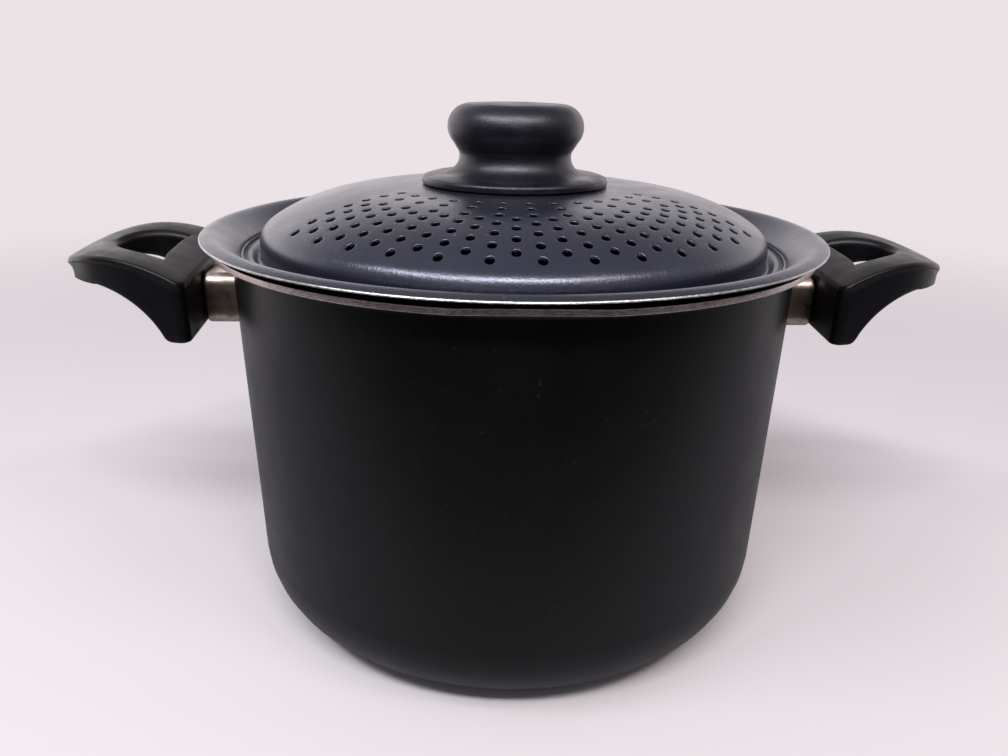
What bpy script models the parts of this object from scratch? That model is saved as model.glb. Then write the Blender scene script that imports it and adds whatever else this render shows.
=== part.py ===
"""Pasta pot with a strainer lid: a round pot, two loop handles on steel brackets, and a loose perforated lid.

Metres, +Z up. The origin is on the pot's axis, on the surface that it stands on. The handles lie along X, and the
pouring side with the lid's holes faces -Y. Run it with blender --background --python part.py.
"""
from math import atan2, cos, hypot, pi, radians, sin, sqrt, tan

import bmesh
import bpy
from mathutils import Vector

MM = 0.001
GAP = 0.3 * MM                      # clearance between pieces that touch

# Pot
POT_RADIUS = 110.0 * MM             # outside, where the flare starts
POT_HEIGHT = 154.0 * MM             # top of the rim
POT_SHEET = 2.1 * MM                # wall and rim
POT_FLOOR = 3.2 * MM
WALL_LEAN = 0.0331                  # the wall draws in by this much per unit of height, going down
CORNER_RADIUS = 30.0 * MM           # outside, between wall and base
RIM_WIDTH = 7.0 * MM                # from the wall out to the cut edge of the flare
FLARE_RADIUS = 3.0 * MM             # outside, under the rim
BASE_RECESS_RADIUS = 52.0 * MM      # the base is pressed in inside this, so that it stands on a ring
BASE_RECESS = 0.6 * MM
POUR_FLAT_WIDTH = 46.0 * MM         # straight trim of the rim on the pouring side

# Strainer lid
LID_SHEET = 0.9 * MM
LID_OVERHANG = 4.0 * MM             # of the flange's cut edge past the pot's rim
FLANGE_RISE = 1.3 * MM              # from the cut edge up to the flange's crest
FLANGE_CREST_IN = 4.0 * MM          # from the cut edge in to the crest
FLANGE_CREST_OUT = 8.3 * MM         # from the seat out to the crest
FLANGE_STEEPNESS = 0.66             # of the crest, against the slope at the seat
FLANGE_ARCH_OUT = 2.0               # exponents of the flange's fall from its crest
FLANGE_ARCH_IN = 1.5
SEAT_SLOPE = radians(44)            # of the flange where it lies on the pot's flare
CHANNEL_CLEARANCE = 0.5 * MM        # between the lid's channel and the pot's wall
CHANNEL_DEPTH = 5.8 * MM            # below the top of the pot's rim
CHANNEL_WIDTH = 7.2 * MM            # between the channel's outer side and the dome
CHANNEL_BEND = 0.8 * MM             # rounding where the flange turns down into the channel
CHANNEL_ROUND = 1.0 * MM            # rounding of the channel's bottom, across
CHANNEL_ROUND_UP = 2.4 * MM         # the same, upwards
BEAD_IN = 3.1 * MM                  # raised bead in the channel, from the channel's outer side
BEAD_WIDTH = 1.6 * MM
BEAD_RISE = 2.8 * MM
DOME_ABOVE_RIM = 20.5 * MM          # height of the dome's middle above the pot's rim
DOME_FOOT = 9.3 * MM                # above the channel's bottom, where the dome's curve would meet its foot
DOME_FLATNESS = 4.4                 # exponents of the dome's curve
DOME_SHOULDER = 1.09
DOME_EDGE_ROUND = 7.5 * MM          # of the arc that turns the curve down into the foot
DOME_FACETS = 9
DOME_SPREAD = radians(68)           # sets how far in the dome's points reach, crowded towards its shoulder
LID_TURN = radians(2.7)             # the loose lid sits turned by this much on the pot

# Holes in the lid
HOLE_DIAMETER = 3.2 * MM
HOLE_STEP = radians(10)             # between the holes of a ring
HOLE_FAN = radians(120)             # angle that the full rings cover, centred on -Y
OUTER_RING_IN = 7.2 * MM            # from the dome's edge to the outermost ring
RING_PITCH = 3.6 * MM               # measured along the dome's surface
CLOSE_RINGS = 9                     # rings that follow each other at this pitch
WIDE_RINGS = 2                      # rings further in, at twice the pitch and not shifted
HOLE_SIDES = 6

# Knob
KNOB_HEIGHT = 30.5 * MM
KNOB_HEAD_RADIUS = 26.6 * MM
KNOB_HEAD_ROUND = 8.6 * MM          # radius of the head's edge
KNOB_CROWN = 0.6 * MM               # rise of the head's slightly domed top
KNOB_WAIST_RADIUS = 22.0 * MM
KNOB_WAIST_ROUND = 4.4 * MM
KNOB_WAIST_UP = 9.9 * MM            # above the skirt's lower edge
KNOB_NECK_SLOPE = radians(40)       # of the run between head and waist, from upright
KNOB_FOOT_SLOPE = radians(64)       # at which the waist's arc meets the skirt, from upright
KNOB_SKIRT_RADIUS = 36.6 * MM
KNOB_SKIRT_WIDTH = 9.0 * MM
KNOB_SKIRT_EDGE = 1.2 * MM
KNOB_SKIRT_THICKNESS = 4.5 * MM     # where the skirt leaves the waist
KNOB_SKIRT_FALL = 2.6               # exponent of the skirt's fall towards its edge
KNOB_CORE_RADIUS = 28.0 * MM        # moulded hollow under the skirt
KNOB_CORE_BOSS = 9.0 * MM
KNOB_CORE_DEPTH = 2.4 * MM
INSERT_RADIUS = 4.6 * MM
INSERT_LENGTH = 13.0 * MM
INSERT_GROOVE = 0.5 * MM
INSERT_GROOVE_WIDTH = 3.0 * MM
KNOB_SCREW_RADIUS = 2.4 * MM
KNOB_THREAD_SPARE = 4.0 * MM        # left empty in the insert above the screw's tip
KNOB_SCREW_HEAD_RADIUS = 4.8 * MM
KNOB_SCREW_HEAD = 3.0 * MM
KNOB_WASHER_RADIUS = 8.0 * MM
KNOB_WASHER = 1.2 * MM

# Handle fixing: weld stud, bracket, screw and washer
FIXING_DOWN = 25.0 * MM             # of the screw's axis below the pot's rim
BRACKET_LENGTH = 13.0 * MM          # from the pot's radius out to the handle
BRACKET_WIDTH = 24.0 * MM
BRACKET_HEIGHT = 20.4 * MM
BRACKET_SHEET = 0.9 * MM
BRACKET_CORNER = 4.5 * MM
STUD_RADIUS = 5.5 * MM
HANDLE_SCREW_RADIUS = 2.6 * MM
STUD_FLOOR = 2.2 * MM               # solid metal between the pot's wall and the stud's blind thread
THREAD_SPARE = 1.0 * MM             # left empty in the stud behind the screw's tip
SCREW_HEAD_RADIUS = 4.6 * MM
SCREW_HEAD = 3.2 * MM
SCREW_SEAT = 6.3 * MM               # block left between the bracket and the screw's pocket
HANDLE_WASHER_RADIUS = 5.0 * MM
HANDLE_WASHER = 1.0 * MM
SCREW_TIP = 0.6 * MM                # chamfer
HEAD_RIM = 0.45                     # upright share of a screw head's height
DRIVE_RADIUS = 0.3                  # recess for the driver, as shares of the head's radius and height
DRIVE_DEPTH = 0.6

# Handle: lengths from its face at the bracket, heights from the screw's axis
HANDLE_LENGTH = 56.2 * MM
HANDLE_HALF_WIDTH = 35.2 * MM       # of the block at the bracket
HANDLE_TAPER = 0.34                 # share of its width that the loop loses along its length, before its nose
NOSE_FULLNESS = 5.5                 # exponents of the round nose
NOSE_ROUND = 0.9
BLOCK_BELOW = 9.2 * MM
BLOCK_ABOVE = 13.9 * MM
BLOCK_LENGTH = 9.0 * MM             # flat underside of the block
CREST_ABOVE = 22.1 * MM             # highest point of the arched top
CREST_OUT = 28.7 * MM
TIP_ABOVE = 14.5 * MM
TIP_THICKNESS = 4.5 * MM
TIP_UNDERCUT = 7.0 * MM
LOOP_THICKNESS = 10.1 * MM          # from the crest down to the highest point of the underside
UNDERSIDE_END_IN = 13.6 * MM        # of that point, from the tip
UNDERSIDE_START = radians(26)       # angle at which the underside's arc leaves the block
FINGER_HOLE_WALL = 12.0 * MM        # block between the handle's face and the finger hole
FINGER_HOLE_LENGTH = 21.5 * MM
FINGER_HOLE_HALF_WIDTH = 15.6 * MM
FINGER_HOLE_BOW = 1.8 * MM
HANDLE_TURNS = {"left": radians(4.7), "right": radians(3.4)}   # each on its one screw, pouring side down

# Facets
POT_SIDES = 60
LID_SIDES = 60
KNOB_SIDES = 32
SMALL_SIDES = 16
SHARP = radians(35)

# Sizes that follow from these
RIM_RADIUS = POT_RADIUS + RIM_WIDTH
LID_RADIUS = RIM_RADIUS + LID_OVERHANG
FLARE_CENTRE = (POT_RADIUS + FLARE_RADIUS, POT_HEIGHT - POT_SHEET - FLARE_RADIUS)
CHANNEL_OUTER = POT_RADIUS - POT_SHEET - CHANNEL_CLEARANCE - LID_SHEET
DOME_RADIUS = CHANNEL_OUTER - CHANNEL_WIDTH
DOME_TOP = POT_HEIGHT + DOME_ABOVE_RIM
DOME_RISE = DOME_ABOVE_RIM + CHANNEL_DEPTH - DOME_FOOT
KNOB_BASE = DOME_TOP + GAP
FIXING_HEIGHT = POT_HEIGHT - FIXING_DOWN
BRACKET_REACH = POT_RADIUS + BRACKET_LENGTH
HANDLE_FACE = BRACKET_REACH + GAP
WASHER_SEAT = HANDLE_FACE + SCREW_SEAT + GAP
THREAD_BOTTOM = POT_RADIUS - WALL_LEAN * (FLARE_CENTRE[1] - FIXING_HEIGHT) + GAP + STUD_FLOOR


def clear_scene():
    for thing in list(bpy.data.objects):
        bpy.data.objects.remove(thing, do_unlink=True)


def material(name, color, roughness, metallic=0.0):
    mat = bpy.data.materials.new(name)
    mat.use_nodes = True
    shader = mat.node_tree.nodes["Principled BSDF"]
    shader.inputs["Base Color"].default_value = (*color, 1.0)
    shader.inputs["Roughness"].default_value = roughness
    shader.inputs["Metallic"].default_value = metallic
    mat.diffuse_color = (*color, 1.0)
    return mat


def link(name, data=None):
    obj = bpy.data.objects.new(name, data)
    bpy.context.collection.objects.link(obj)
    return obj


def finish(name, mesh, mat):
    """Links a mesh to the scene as one named piece with its material."""
    mesh.materials.append(mat)
    mesh.shade_smooth()
    mesh.set_sharp_from_angle(angle=SHARP)
    return link(name, mesh)


def cutter(name, mesh):
    obj = link(name, mesh)
    obj.hide_render = True
    obj.display_type = "WIRE"
    return obj


def cut(obj, tool, operation="DIFFERENCE"):
    mod = obj.modifiers.new(operation.title(), "BOOLEAN")
    mod.operation = operation
    mod.object = tool
    mod.solver = "EXACT"


def mesh_from(name, bm):
    mesh = bpy.data.meshes.new(name)
    bm.to_mesh(mesh)
    bm.free()
    return mesh


def lathe_mesh(name, profile, sides):
    """A closed body turned about Z. The profile is a closed loop of (radius, height) points that runs down the
    body's outer side and back up its inner side or axis; points with radius 0 become single poles."""
    bm = bmesh.new()
    angles = [2 * pi * k / sides for k in range(sides)]
    rings = []
    for radius, height in profile:
        if radius == 0.0:
            rings.append([bm.verts.new((0.0, 0.0, height))] * sides)
        else:
            rings.append([bm.verts.new((radius * cos(a), radius * sin(a), height)) for a in angles])
    for upper, lower in zip(rings, rings[1:] + rings[:1]):
        for k in range(sides):
            n = (k + 1) % sides
            corners = list(dict.fromkeys([upper[k], lower[k], lower[n], upper[n]]))
            if len(corners) > 2:
                bm.faces.new(corners)
    return mesh_from(name, bm)


def prism_mesh(name, outline, low, high, axis="Z"):
    """A prism on a closed outline of two coordinates, extruded along an axis from low to high."""
    place = {"X": lambda a, b, h: (h, a, b), "Y": lambda a, b, h: (a, h, b), "Z": lambda a, b, h: (a, b, h)}[axis]
    bm = bmesh.new()
    face = bm.faces.new([bm.verts.new(place(a, b, low)) for a, b in outline])
    made = bmesh.ops.extrude_face_region(bm, geom=[face])["geom"]
    lift = Vector(place(0.0, 0.0, high - low))
    bmesh.ops.translate(bm, vec=lift, verts=[part for part in made if isinstance(part, bmesh.types.BMVert)])
    bmesh.ops.recalc_face_normals(bm, faces=bm.faces)
    return mesh_from(name, bm)


def arc(centre, radius, start, end, count):
    """Points on an arc from one angle to another, both ends included."""
    steps = [start + (end - start) * k / (count - 1) for k in range(count)]
    return [(centre[0] + radius * cos(a), centre[1] + radius * sin(a)) for a in steps]


def rounded_rectangle(width, height, corner, count=4):
    points = []
    for quarter, (sx, sy) in enumerate(((1, 1), (-1, 1), (-1, -1), (1, -1))):
        centre = (sx * (width / 2 - corner), sy * (height / 2 - corner))
        points += arc(centre, corner, quarter * pi / 2, (quarter + 1) * pi / 2, count)
    return points


def offset_curve(points, distance):
    """Moves an open chain of points sideways, to the left of its direction."""
    moved = []
    for k, (r, z) in enumerate(points):
        before = points[max(k - 1, 0)]
        after = points[min(k + 1, len(points) - 1)]
        dr = after[0] - before[0]
        dz = after[1] - before[1]
        share = distance / hypot(dr, dz)
        moved.append((r - dz * share, z + dr * share))
    return moved


def wall_radius(height):
    """Outside radius of the pot's wall at a height, above its corner."""
    return POT_RADIUS - WALL_LEAN * (FLARE_CENTRE[1] - height)


# Pot body

def pot_profile():
    """Rim, flare, leaning wall, corner and recessed base outside; floor, corner, wall and flare inside."""
    corner = (wall_radius(CORNER_RADIUS) - CORNER_RADIUS, CORNER_RADIUS)
    inner_corner = CORNER_RADIUS - POT_SHEET
    points = [(RIM_RADIUS, POT_HEIGHT), (RIM_RADIUS, POT_HEIGHT - POT_SHEET)]
    points += arc(FLARE_CENTRE, FLARE_RADIUS, pi / 2, pi, 4)
    points += arc(corner, CORNER_RADIUS, 0.0, -pi / 2, 8)
    points += [(BASE_RECESS_RADIUS, 0.0), (BASE_RECESS_RADIUS - BASE_RECESS, BASE_RECESS), (0.0, BASE_RECESS)]
    points.append((0.0, POT_FLOOR))
    points += arc((corner[0], POT_FLOOR + inner_corner), inner_corner, -pi / 2, 0.0, 7)
    points += arc(FLARE_CENTRE, FLARE_RADIUS + POT_SHEET, pi, pi / 2, 6)
    return points


def make_pot(mat):
    pot = finish("pot_body", lathe_mesh("pot_body", pot_profile(), POT_SIDES), mat)
    chord = sqrt(RIM_RADIUS ** 2 - (POUR_FLAT_WIDTH / 2) ** 2)
    outside = 2 * RIM_RADIUS
    box = [(-outside, -outside), (outside, -outside), (outside, -chord), (-outside, -chord)]
    cut(pot, cutter("pour_flat_cutter", prism_mesh("pour_flat", box, -POT_HEIGHT, 2 * POT_HEIGHT)))
    return pot


# Strainer lid

def dome_height(radius):
    """Height of the dome's top surface: a flat middle that rounds over to a steep shoulder."""
    share = min(radius / DOME_RADIUS, 1.0)
    return DOME_TOP - DOME_RISE * (1.0 - (1.0 - share ** DOME_FLATNESS) ** (1.0 / DOME_SHOULDER))


def dome_edge():
    """The arc that leaves the dome's curve at the same slope and ends upright: its centre, and the angle and radius
    where it meets the curve. Each pass takes the curve's slope at the last radius."""
    radius = DOME_RADIUS - DOME_EDGE_ROUND / 2
    step = GAP
    for _ in range(12):
        slope = (dome_height(radius - step) - dome_height(radius)) / step
        angle = atan2(1.0, slope)
        radius = DOME_RADIUS - DOME_EDGE_ROUND * (1.0 - cos(angle))
    centre = (DOME_RADIUS - DOME_EDGE_ROUND, dome_height(radius) - DOME_EDGE_ROUND * sin(angle))
    return centre, angle, radius


def lid_seat():
    """Point of the lid's top surface over the place where its sloping flange lies on the pot's flare."""
    reach = FLARE_RADIUS + POT_SHEET + GAP + LID_SHEET
    return (FLARE_CENTRE[0] - reach * sin(SEAT_SLOPE), FLARE_CENTRE[1] + reach * cos(SEAT_SLOPE))


def flange_curve():
    """The arched flange from its cut edge over its crest and down to the seat."""
    seat = lid_seat()
    rise = FLANGE_CREST_OUT * tan(SEAT_SLOPE) * FLANGE_STEEPNESS
    radius = LID_RADIUS - FLANGE_CREST_IN
    crest = seat[1] + rise
    points = []
    for share in (1.0, 0.55, 0.0):
        points.append((radius + FLANGE_CREST_IN * share, crest - FLANGE_RISE * share ** FLANGE_ARCH_OUT))
    points.append((radius - FLANGE_CREST_OUT * 0.35, crest - rise * 0.35 ** FLANGE_ARCH_IN))
    return points + [seat]


def lid_top_curve():
    """The lid's top surface from the cut edge in to the edge of the screw's hole."""
    bottom = POT_HEIGHT - CHANNEL_DEPTH
    bead = CHANNEL_OUTER - BEAD_IN
    points = flange_curve()
    points += [(CHANNEL_OUTER + CHANNEL_BEND, lid_seat()[1] - 2 * CHANNEL_BEND)]
    points += [(CHANNEL_OUTER, bottom + CHANNEL_ROUND_UP), (CHANNEL_OUTER - CHANNEL_ROUND, bottom)]
    points += [(bead + BEAD_WIDTH / 2, bottom + BEAD_RISE), (bead - BEAD_WIDTH / 2, bottom + BEAD_RISE)]
    points += [(DOME_RADIUS + CHANNEL_ROUND, bottom), (DOME_RADIUS, bottom + CHANNEL_ROUND_UP)]
    centre, angle, edge = dome_edge()
    points += arc(centre, DOME_EDGE_ROUND, 0.0, angle, 4)
    for k in range(1, DOME_FACETS):
        radius = edge * cos(DOME_SPREAD * k / (DOME_FACETS - 1))
        points.append((radius, dome_height(radius)))
    points.append((KNOB_SCREW_RADIUS + GAP, DOME_TOP))
    return points


def hole_rings():
    """Radius of each ring of holes and whether it is shifted, marched inwards along the dome's surface."""
    rings = []
    radius = DOME_RADIUS - OUTER_RING_IN
    steps = 20
    step = RING_PITCH / steps
    for k in range(CLOSE_RINGS + 2 * WIDE_RINGS):
        if k < CLOSE_RINGS or k % 2 == 0:
            rings.append((radius, k % 2 == 1))
        for _ in range(steps):
            slope = (dome_height(radius) - dome_height(radius - step)) / step
            radius -= step / sqrt(1 + slope ** 2)
    return rings


def hole_centres():
    """Radius and angle of every hole, the fan centred on the pouring side."""
    centres = []
    steps = round(HOLE_FAN / HOLE_STEP)
    for radius, shifted in hole_rings():
        count = steps if shifted else steps + 1
        centres += [(radius, -pi / 2 + (k - (count - 1) / 2) * HOLE_STEP) for k in range(count)]
    return centres


def make_hole_cutter():
    """All the holes as separate upright prisms in one mesh."""
    bm = bmesh.new()
    low = POT_HEIGHT
    high = DOME_TOP + DOME_RISE
    for radius, angle in hole_centres():
        centre = (radius * cos(angle), radius * sin(angle))
        outline = arc(centre, HOLE_DIAMETER / 2, angle, angle + 2 * pi * (1 - 1 / HOLE_SIDES), HOLE_SIDES)
        lower = [bm.verts.new((x, y, low)) for x, y in outline]
        upper = [bm.verts.new((x, y, high)) for x, y in outline]
        bm.faces.new(lower[::-1])
        bm.faces.new(upper)
        for k in range(HOLE_SIDES):
            bm.faces.new([lower[k - 1], lower[k], upper[k], upper[k - 1]])
    return cutter("strainer_hole_cutter", mesh_from("strainer_holes", bm))


def make_lid(mat):
    top = lid_top_curve()
    under = offset_curve(top, LID_SHEET)
    under[0] = (LID_RADIUS, top[0][1] - LID_SHEET)
    under[-1] = (top[-1][0], DOME_TOP - LID_SHEET)
    lid = finish("strainer_lid", lathe_mesh("strainer_lid", under + top[::-1], LID_SIDES), mat)
    holes = make_hole_cutter()
    holes.parent = lid
    cut(lid, holes)
    lid.rotation_euler.z = LID_TURN
    return lid


# Knob and its fixing

def knob_profile():
    """Domed top, round head, waist and thin skirt outside; hollow, boss and blind hole for the insert below."""
    top = KNOB_BASE + KNOB_HEIGHT
    head = (KNOB_HEAD_RADIUS - KNOB_HEAD_ROUND, top - KNOB_CROWN - KNOB_HEAD_ROUND)
    waist = (KNOB_WAIST_RADIUS + KNOB_WAIST_ROUND, KNOB_BASE + KNOB_WAIST_UP)
    foot = KNOB_SKIRT_RADIUS - KNOB_SKIRT_WIDTH
    points = [(head[0] * share, top - KNOB_CROWN * share ** 2) for share in (0.0, 0.6)]
    points += arc(head, KNOB_HEAD_ROUND, pi / 2, -KNOB_NECK_SLOPE, 9)
    points += arc(waist, KNOB_WAIST_ROUND, pi - KNOB_NECK_SLOPE, pi + KNOB_FOOT_SLOPE, 6)
    for share in (0.0, 0.5, 0.8, 1.0):
        fall = (KNOB_SKIRT_THICKNESS - KNOB_SKIRT_EDGE) * share ** KNOB_SKIRT_FALL
        points.append((foot + KNOB_SKIRT_WIDTH * share, KNOB_BASE + KNOB_SKIRT_THICKNESS - fall))
    core = KNOB_BASE + KNOB_CORE_DEPTH
    bore = INSERT_RADIUS + GAP
    blind = KNOB_BASE + INSERT_LENGTH + GAP
    points += [(KNOB_SKIRT_RADIUS, KNOB_BASE), (KNOB_CORE_RADIUS, KNOB_BASE), (KNOB_CORE_RADIUS, core)]
    points += [(KNOB_CORE_BOSS, core), (KNOB_CORE_BOSS, KNOB_BASE)]
    return points + [(bore, KNOB_BASE), (bore, blind), (0.0, blind)]


def insert_profile():
    """A threaded bush with a groove round its middle that the moulding grips."""
    bore = KNOB_SCREW_RADIUS + GAP
    grip = INSERT_RADIUS - INSERT_GROOVE
    upper = KNOB_BASE + (INSERT_LENGTH + INSERT_GROOVE_WIDTH) / 2
    lower = upper - INSERT_GROOVE_WIDTH
    points = [(bore, KNOB_BASE + INSERT_LENGTH), (INSERT_RADIUS, KNOB_BASE + INSERT_LENGTH)]
    points += [(INSERT_RADIUS, upper), (grip, upper), (grip, lower), (INSERT_RADIUS, lower)]
    return points + [(INSERT_RADIUS, KNOB_BASE), (bore, KNOB_BASE)]


def screw_mesh(name, head_radius, head, shaft_radius, length):
    """A screw with its tip up along +Z and the seat of its head at z 0: a pan head with a recess for the driver."""
    profile = [(0.0, length), (shaft_radius - SCREW_TIP, length), (shaft_radius, length - SCREW_TIP)]
    profile += [(shaft_radius, 0.0), (head_radius, 0.0)]
    for a in (0.0, radians(35), radians(65)):
        profile.append((head_radius * cos(a), -head * (HEAD_RIM + (1 - HEAD_RIM) * sin(a))))
    drive = head_radius * DRIVE_RADIUS
    floor = -head * (1 - DRIVE_DEPTH)
    profile += [(drive, -head), (drive, floor), (0.0, floor)]
    return lathe_mesh(name, profile, SMALL_SIDES)


def washer_mesh(name, outer, inner, thickness):
    profile = [(outer, thickness), (outer, 0.0), (inner, 0.0), (inner, thickness)]
    return lathe_mesh(name, profile, SMALL_SIDES)


def make_knob(phenolic, steel, brass):
    finish("lid_knob", lathe_mesh("lid_knob", knob_profile(), KNOB_SIDES), phenolic)
    finish("knob_insert", lathe_mesh("knob_insert", insert_profile(), SMALL_SIDES), brass)
    bore = KNOB_SCREW_RADIUS + GAP
    washer = finish("knob_washer", washer_mesh("knob_washer", KNOB_WASHER_RADIUS, bore, KNOB_WASHER), steel)
    washer.location.z = DOME_TOP - LID_SHEET - GAP - KNOB_WASHER
    seat = washer.location.z - GAP
    length = KNOB_BASE + INSERT_LENGTH - KNOB_THREAD_SPARE - seat
    mesh = screw_mesh("knob_screw", KNOB_SCREW_HEAD_RADIUS, KNOB_SCREW_HEAD, KNOB_SCREW_RADIUS, length)
    screw = finish("knob_screw", mesh, steel)
    screw.location.z = seat


# Handles: shaped in a frame whose X runs out from the pot's axis and whose z 0 is the screw's axis

def handle_top(x):
    """Height of the arched top: two parabolas that meet at the crest."""
    crest = HANDLE_FACE + CREST_OUT
    if x < crest:
        return CREST_ABOVE - (CREST_ABOVE - BLOCK_ABOVE) * ((crest - x) / CREST_OUT) ** 2
    return CREST_ABOVE - (CREST_ABOVE - TIP_ABOVE) * ((x - crest) / (HANDLE_LENGTH - CREST_OUT)) ** 2


def handle_side_outline():
    """The handle seen from the side: arched top, undercut tip, and an underside that arcs down to the block."""
    count = 10
    tip = HANDLE_FACE + HANDLE_LENGTH
    points = [(x, handle_top(x)) for x in (HANDLE_FACE + HANDLE_LENGTH * k / (count - 1) for k in range(count))]
    points.append((tip - TIP_UNDERCUT, TIP_ABOVE - TIP_THICKNESS))
    start = HANDLE_FACE + BLOCK_LENGTH
    end = tip - UNDERSIDE_END_IN
    rise = CREST_ABOVE - LOOP_THICKNESS + BLOCK_BELOW
    steps = 8
    for k in range(steps + 1):
        a = pi / 2 - (pi / 2 - UNDERSIDE_START) * k / steps
        along = cos(a) / cos(UNDERSIDE_START)
        up = (sin(a) - sin(UNDERSIDE_START)) / (1 - sin(UNDERSIDE_START))
        points.append((end - (end - start) * along, rise * up - BLOCK_BELOW))
    points.append((HANDLE_FACE, -BLOCK_BELOW))
    return points


def handle_half_width(share):
    """Half the handle's width at a share of its length: a straight taper that closes in a round nose."""
    return HANDLE_HALF_WIDTH * (1 - HANDLE_TAPER * share) * (1 - share ** NOSE_FULLNESS) ** NOSE_ROUND


def handle_plan_outline():
    """The handle seen from above: points that crowd towards the nose and leave a short flat at its end."""
    shares = [1 - (1 - k / 11.5) ** 1.8 for k in range(12)]
    points = [(HANDLE_FACE + HANDLE_LENGTH * share, handle_half_width(share)) for share in shares]
    return points + [(x, -y) for x, y in points[::-1]]


def finger_hole_outline():
    """A D-shaped hole: half an ellipse towards the tip, and the block bows out a little into it."""
    base = HANDLE_FACE + FINGER_HOLE_WALL
    angles = [pi * k / 14 - pi / 2 for k in range(15)]
    points = [(base + FINGER_HOLE_LENGTH * cos(a), FINGER_HOLE_HALF_WIDTH * sin(a)) for a in angles]
    for share in (0.6, 0.2, -0.2, -0.6):
        points.append((base + FINGER_HOLE_BOW * (1 - share ** 2), FINGER_HOLE_HALF_WIDTH * share))
    return points


def make_handle(name, mat):
    wide = 2 * HANDLE_HALF_WIDTH
    tall = 2 * CREST_ABOVE
    handle = finish(name, prism_mesh(name, handle_side_outline(), -wide, wide, axis="Y"), mat)
    plan = cutter(name + "_plan", prism_mesh(name + "_plan", handle_plan_outline(), -tall, tall))
    hole = cutter(name + "_hole", prism_mesh(name + "_hole", finger_hole_outline(), -tall, tall))
    cut(handle, plan, "INTERSECT")
    cut(handle, hole)
    pocket = HANDLE_FACE + SCREW_SEAT
    far = HANDLE_FACE + FINGER_HOLE_WALL + FINGER_HOLE_LENGTH / 2
    head = max(HANDLE_WASHER_RADIUS, SCREW_HEAD_RADIUS) + GAP
    shaft = HANDLE_SCREW_RADIUS + GAP
    inside = POT_RADIUS
    profile = [(0.0, far), (head, far), (head, pocket), (shaft, pocket), (shaft, inside), (0.0, inside)]
    bore = cutter(name + "_bore", lathe_mesh(name + "_bore", profile, SMALL_SIDES))
    bore.rotation_euler.y = pi / 2
    cut(handle, bore)
    return handle, plan, hole, bore


def make_bracket(name, mat, wall, bore):
    """A steel sleeve, closed at the handle's end apart from the screw's hole, and trimmed to the pot's wall."""
    inside = POT_RADIUS - BRACKET_LENGTH
    outline = rounded_rectangle(BRACKET_WIDTH, BRACKET_HEIGHT, BRACKET_CORNER)
    bracket = finish(name, prism_mesh(name, outline, inside, BRACKET_REACH, axis="X"), mat)
    fold = 2 * BRACKET_SHEET
    outline = rounded_rectangle(BRACKET_WIDTH - fold, BRACKET_HEIGHT - fold, BRACKET_CORNER - BRACKET_SHEET)
    hollow = prism_mesh(name + "_hollow", outline, inside - fold, BRACKET_REACH - BRACKET_SHEET, axis="X")
    tool = cutter(name + "_hollow", hollow)
    cut(bracket, tool)
    cut(bracket, wall)
    cut(bracket, bore)
    return bracket, tool


def make_stud(name, mat, wall):
    """A boss welded to the pot's wall, with a blind thread for the handle's screw."""
    end = BRACKET_REACH - BRACKET_SHEET - GAP
    thread = HANDLE_SCREW_RADIUS + GAP
    inside = POT_RADIUS - BRACKET_LENGTH
    profile = [(thread, end), (STUD_RADIUS, end), (STUD_RADIUS, inside), (0.0, inside)]
    profile += [(0.0, THREAD_BOTTOM), (thread, THREAD_BOTTOM)]
    stud = finish(name, lathe_mesh(name, profile, SMALL_SIDES), mat)
    stud.rotation_euler.y = pi / 2
    cut(stud, wall)
    return stud


def make_wall_cutter(name):
    """The pot's wall round the fixing, grown by the clearance: it trims the bracket and the stud."""
    tall = BRACKET_HEIGHT
    upper = wall_radius(FIXING_HEIGHT + tall) + GAP
    lower = wall_radius(FIXING_HEIGHT - tall) + GAP
    profile = [(0.0, tall), (upper, tall), (lower, -tall), (0.0, -tall)]
    return cutter(name, lathe_mesh(name, profile, POT_SIDES))


def make_bore_cutter(name):
    shaft = HANDLE_SCREW_RADIUS + GAP
    profile = [(0.0, BRACKET_REACH + BRACKET_LENGTH), (shaft, BRACKET_REACH + BRACKET_LENGTH)]
    profile += [(shaft, POT_RADIUS), (0.0, POT_RADIUS)]
    bore = cutter(name, lathe_mesh(name, profile, SMALL_SIDES))
    bore.rotation_euler.y = pi / 2
    return bore


def make_side(side, steel, phenolic):
    """Stud, bracket, handle, washer and screw of one side, made on +X and turned over for the left side."""
    wall = make_wall_cutter("wall_cutter_" + side)
    bore = make_bore_cutter("bracket_bore_" + side)
    bracket, hollow = make_bracket("bracket_" + side, steel, wall, bore)
    stud = make_stud("stud_" + side, steel, wall)

    shaft = HANDLE_SCREW_RADIUS + GAP
    name = "washer_" + side
    washer = finish(name, washer_mesh(name, HANDLE_WASHER_RADIUS, shaft, HANDLE_WASHER), steel)
    washer.rotation_euler.y = pi / 2
    washer.location.x = WASHER_SEAT
    head = WASHER_SEAT + HANDLE_WASHER + GAP
    length = head - THREAD_BOTTOM - THREAD_SPARE
    name = "screw_" + side
    screw = finish(name, screw_mesh(name, SCREW_HEAD_RADIUS, SCREW_HEAD, HANDLE_SCREW_RADIUS, length), steel)
    screw.rotation_euler.y = -pi / 2
    screw.location.x = head

    fixing = link("fixing_" + side)
    fixing.location.z = FIXING_HEIGHT
    fixing.rotation_euler.z = 0.0 if side == "right" else pi
    turned = link("turned_" + side)
    turned.parent = fixing
    turned.rotation_euler.x = HANDLE_TURNS[side] * (1 if side == "right" else -1)
    for thing in make_handle("handle_" + side, phenolic):
        thing.parent = turned
    for thing in (wall, bore, bracket, hollow, stud, washer, screw):
        thing.parent = fixing


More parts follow.
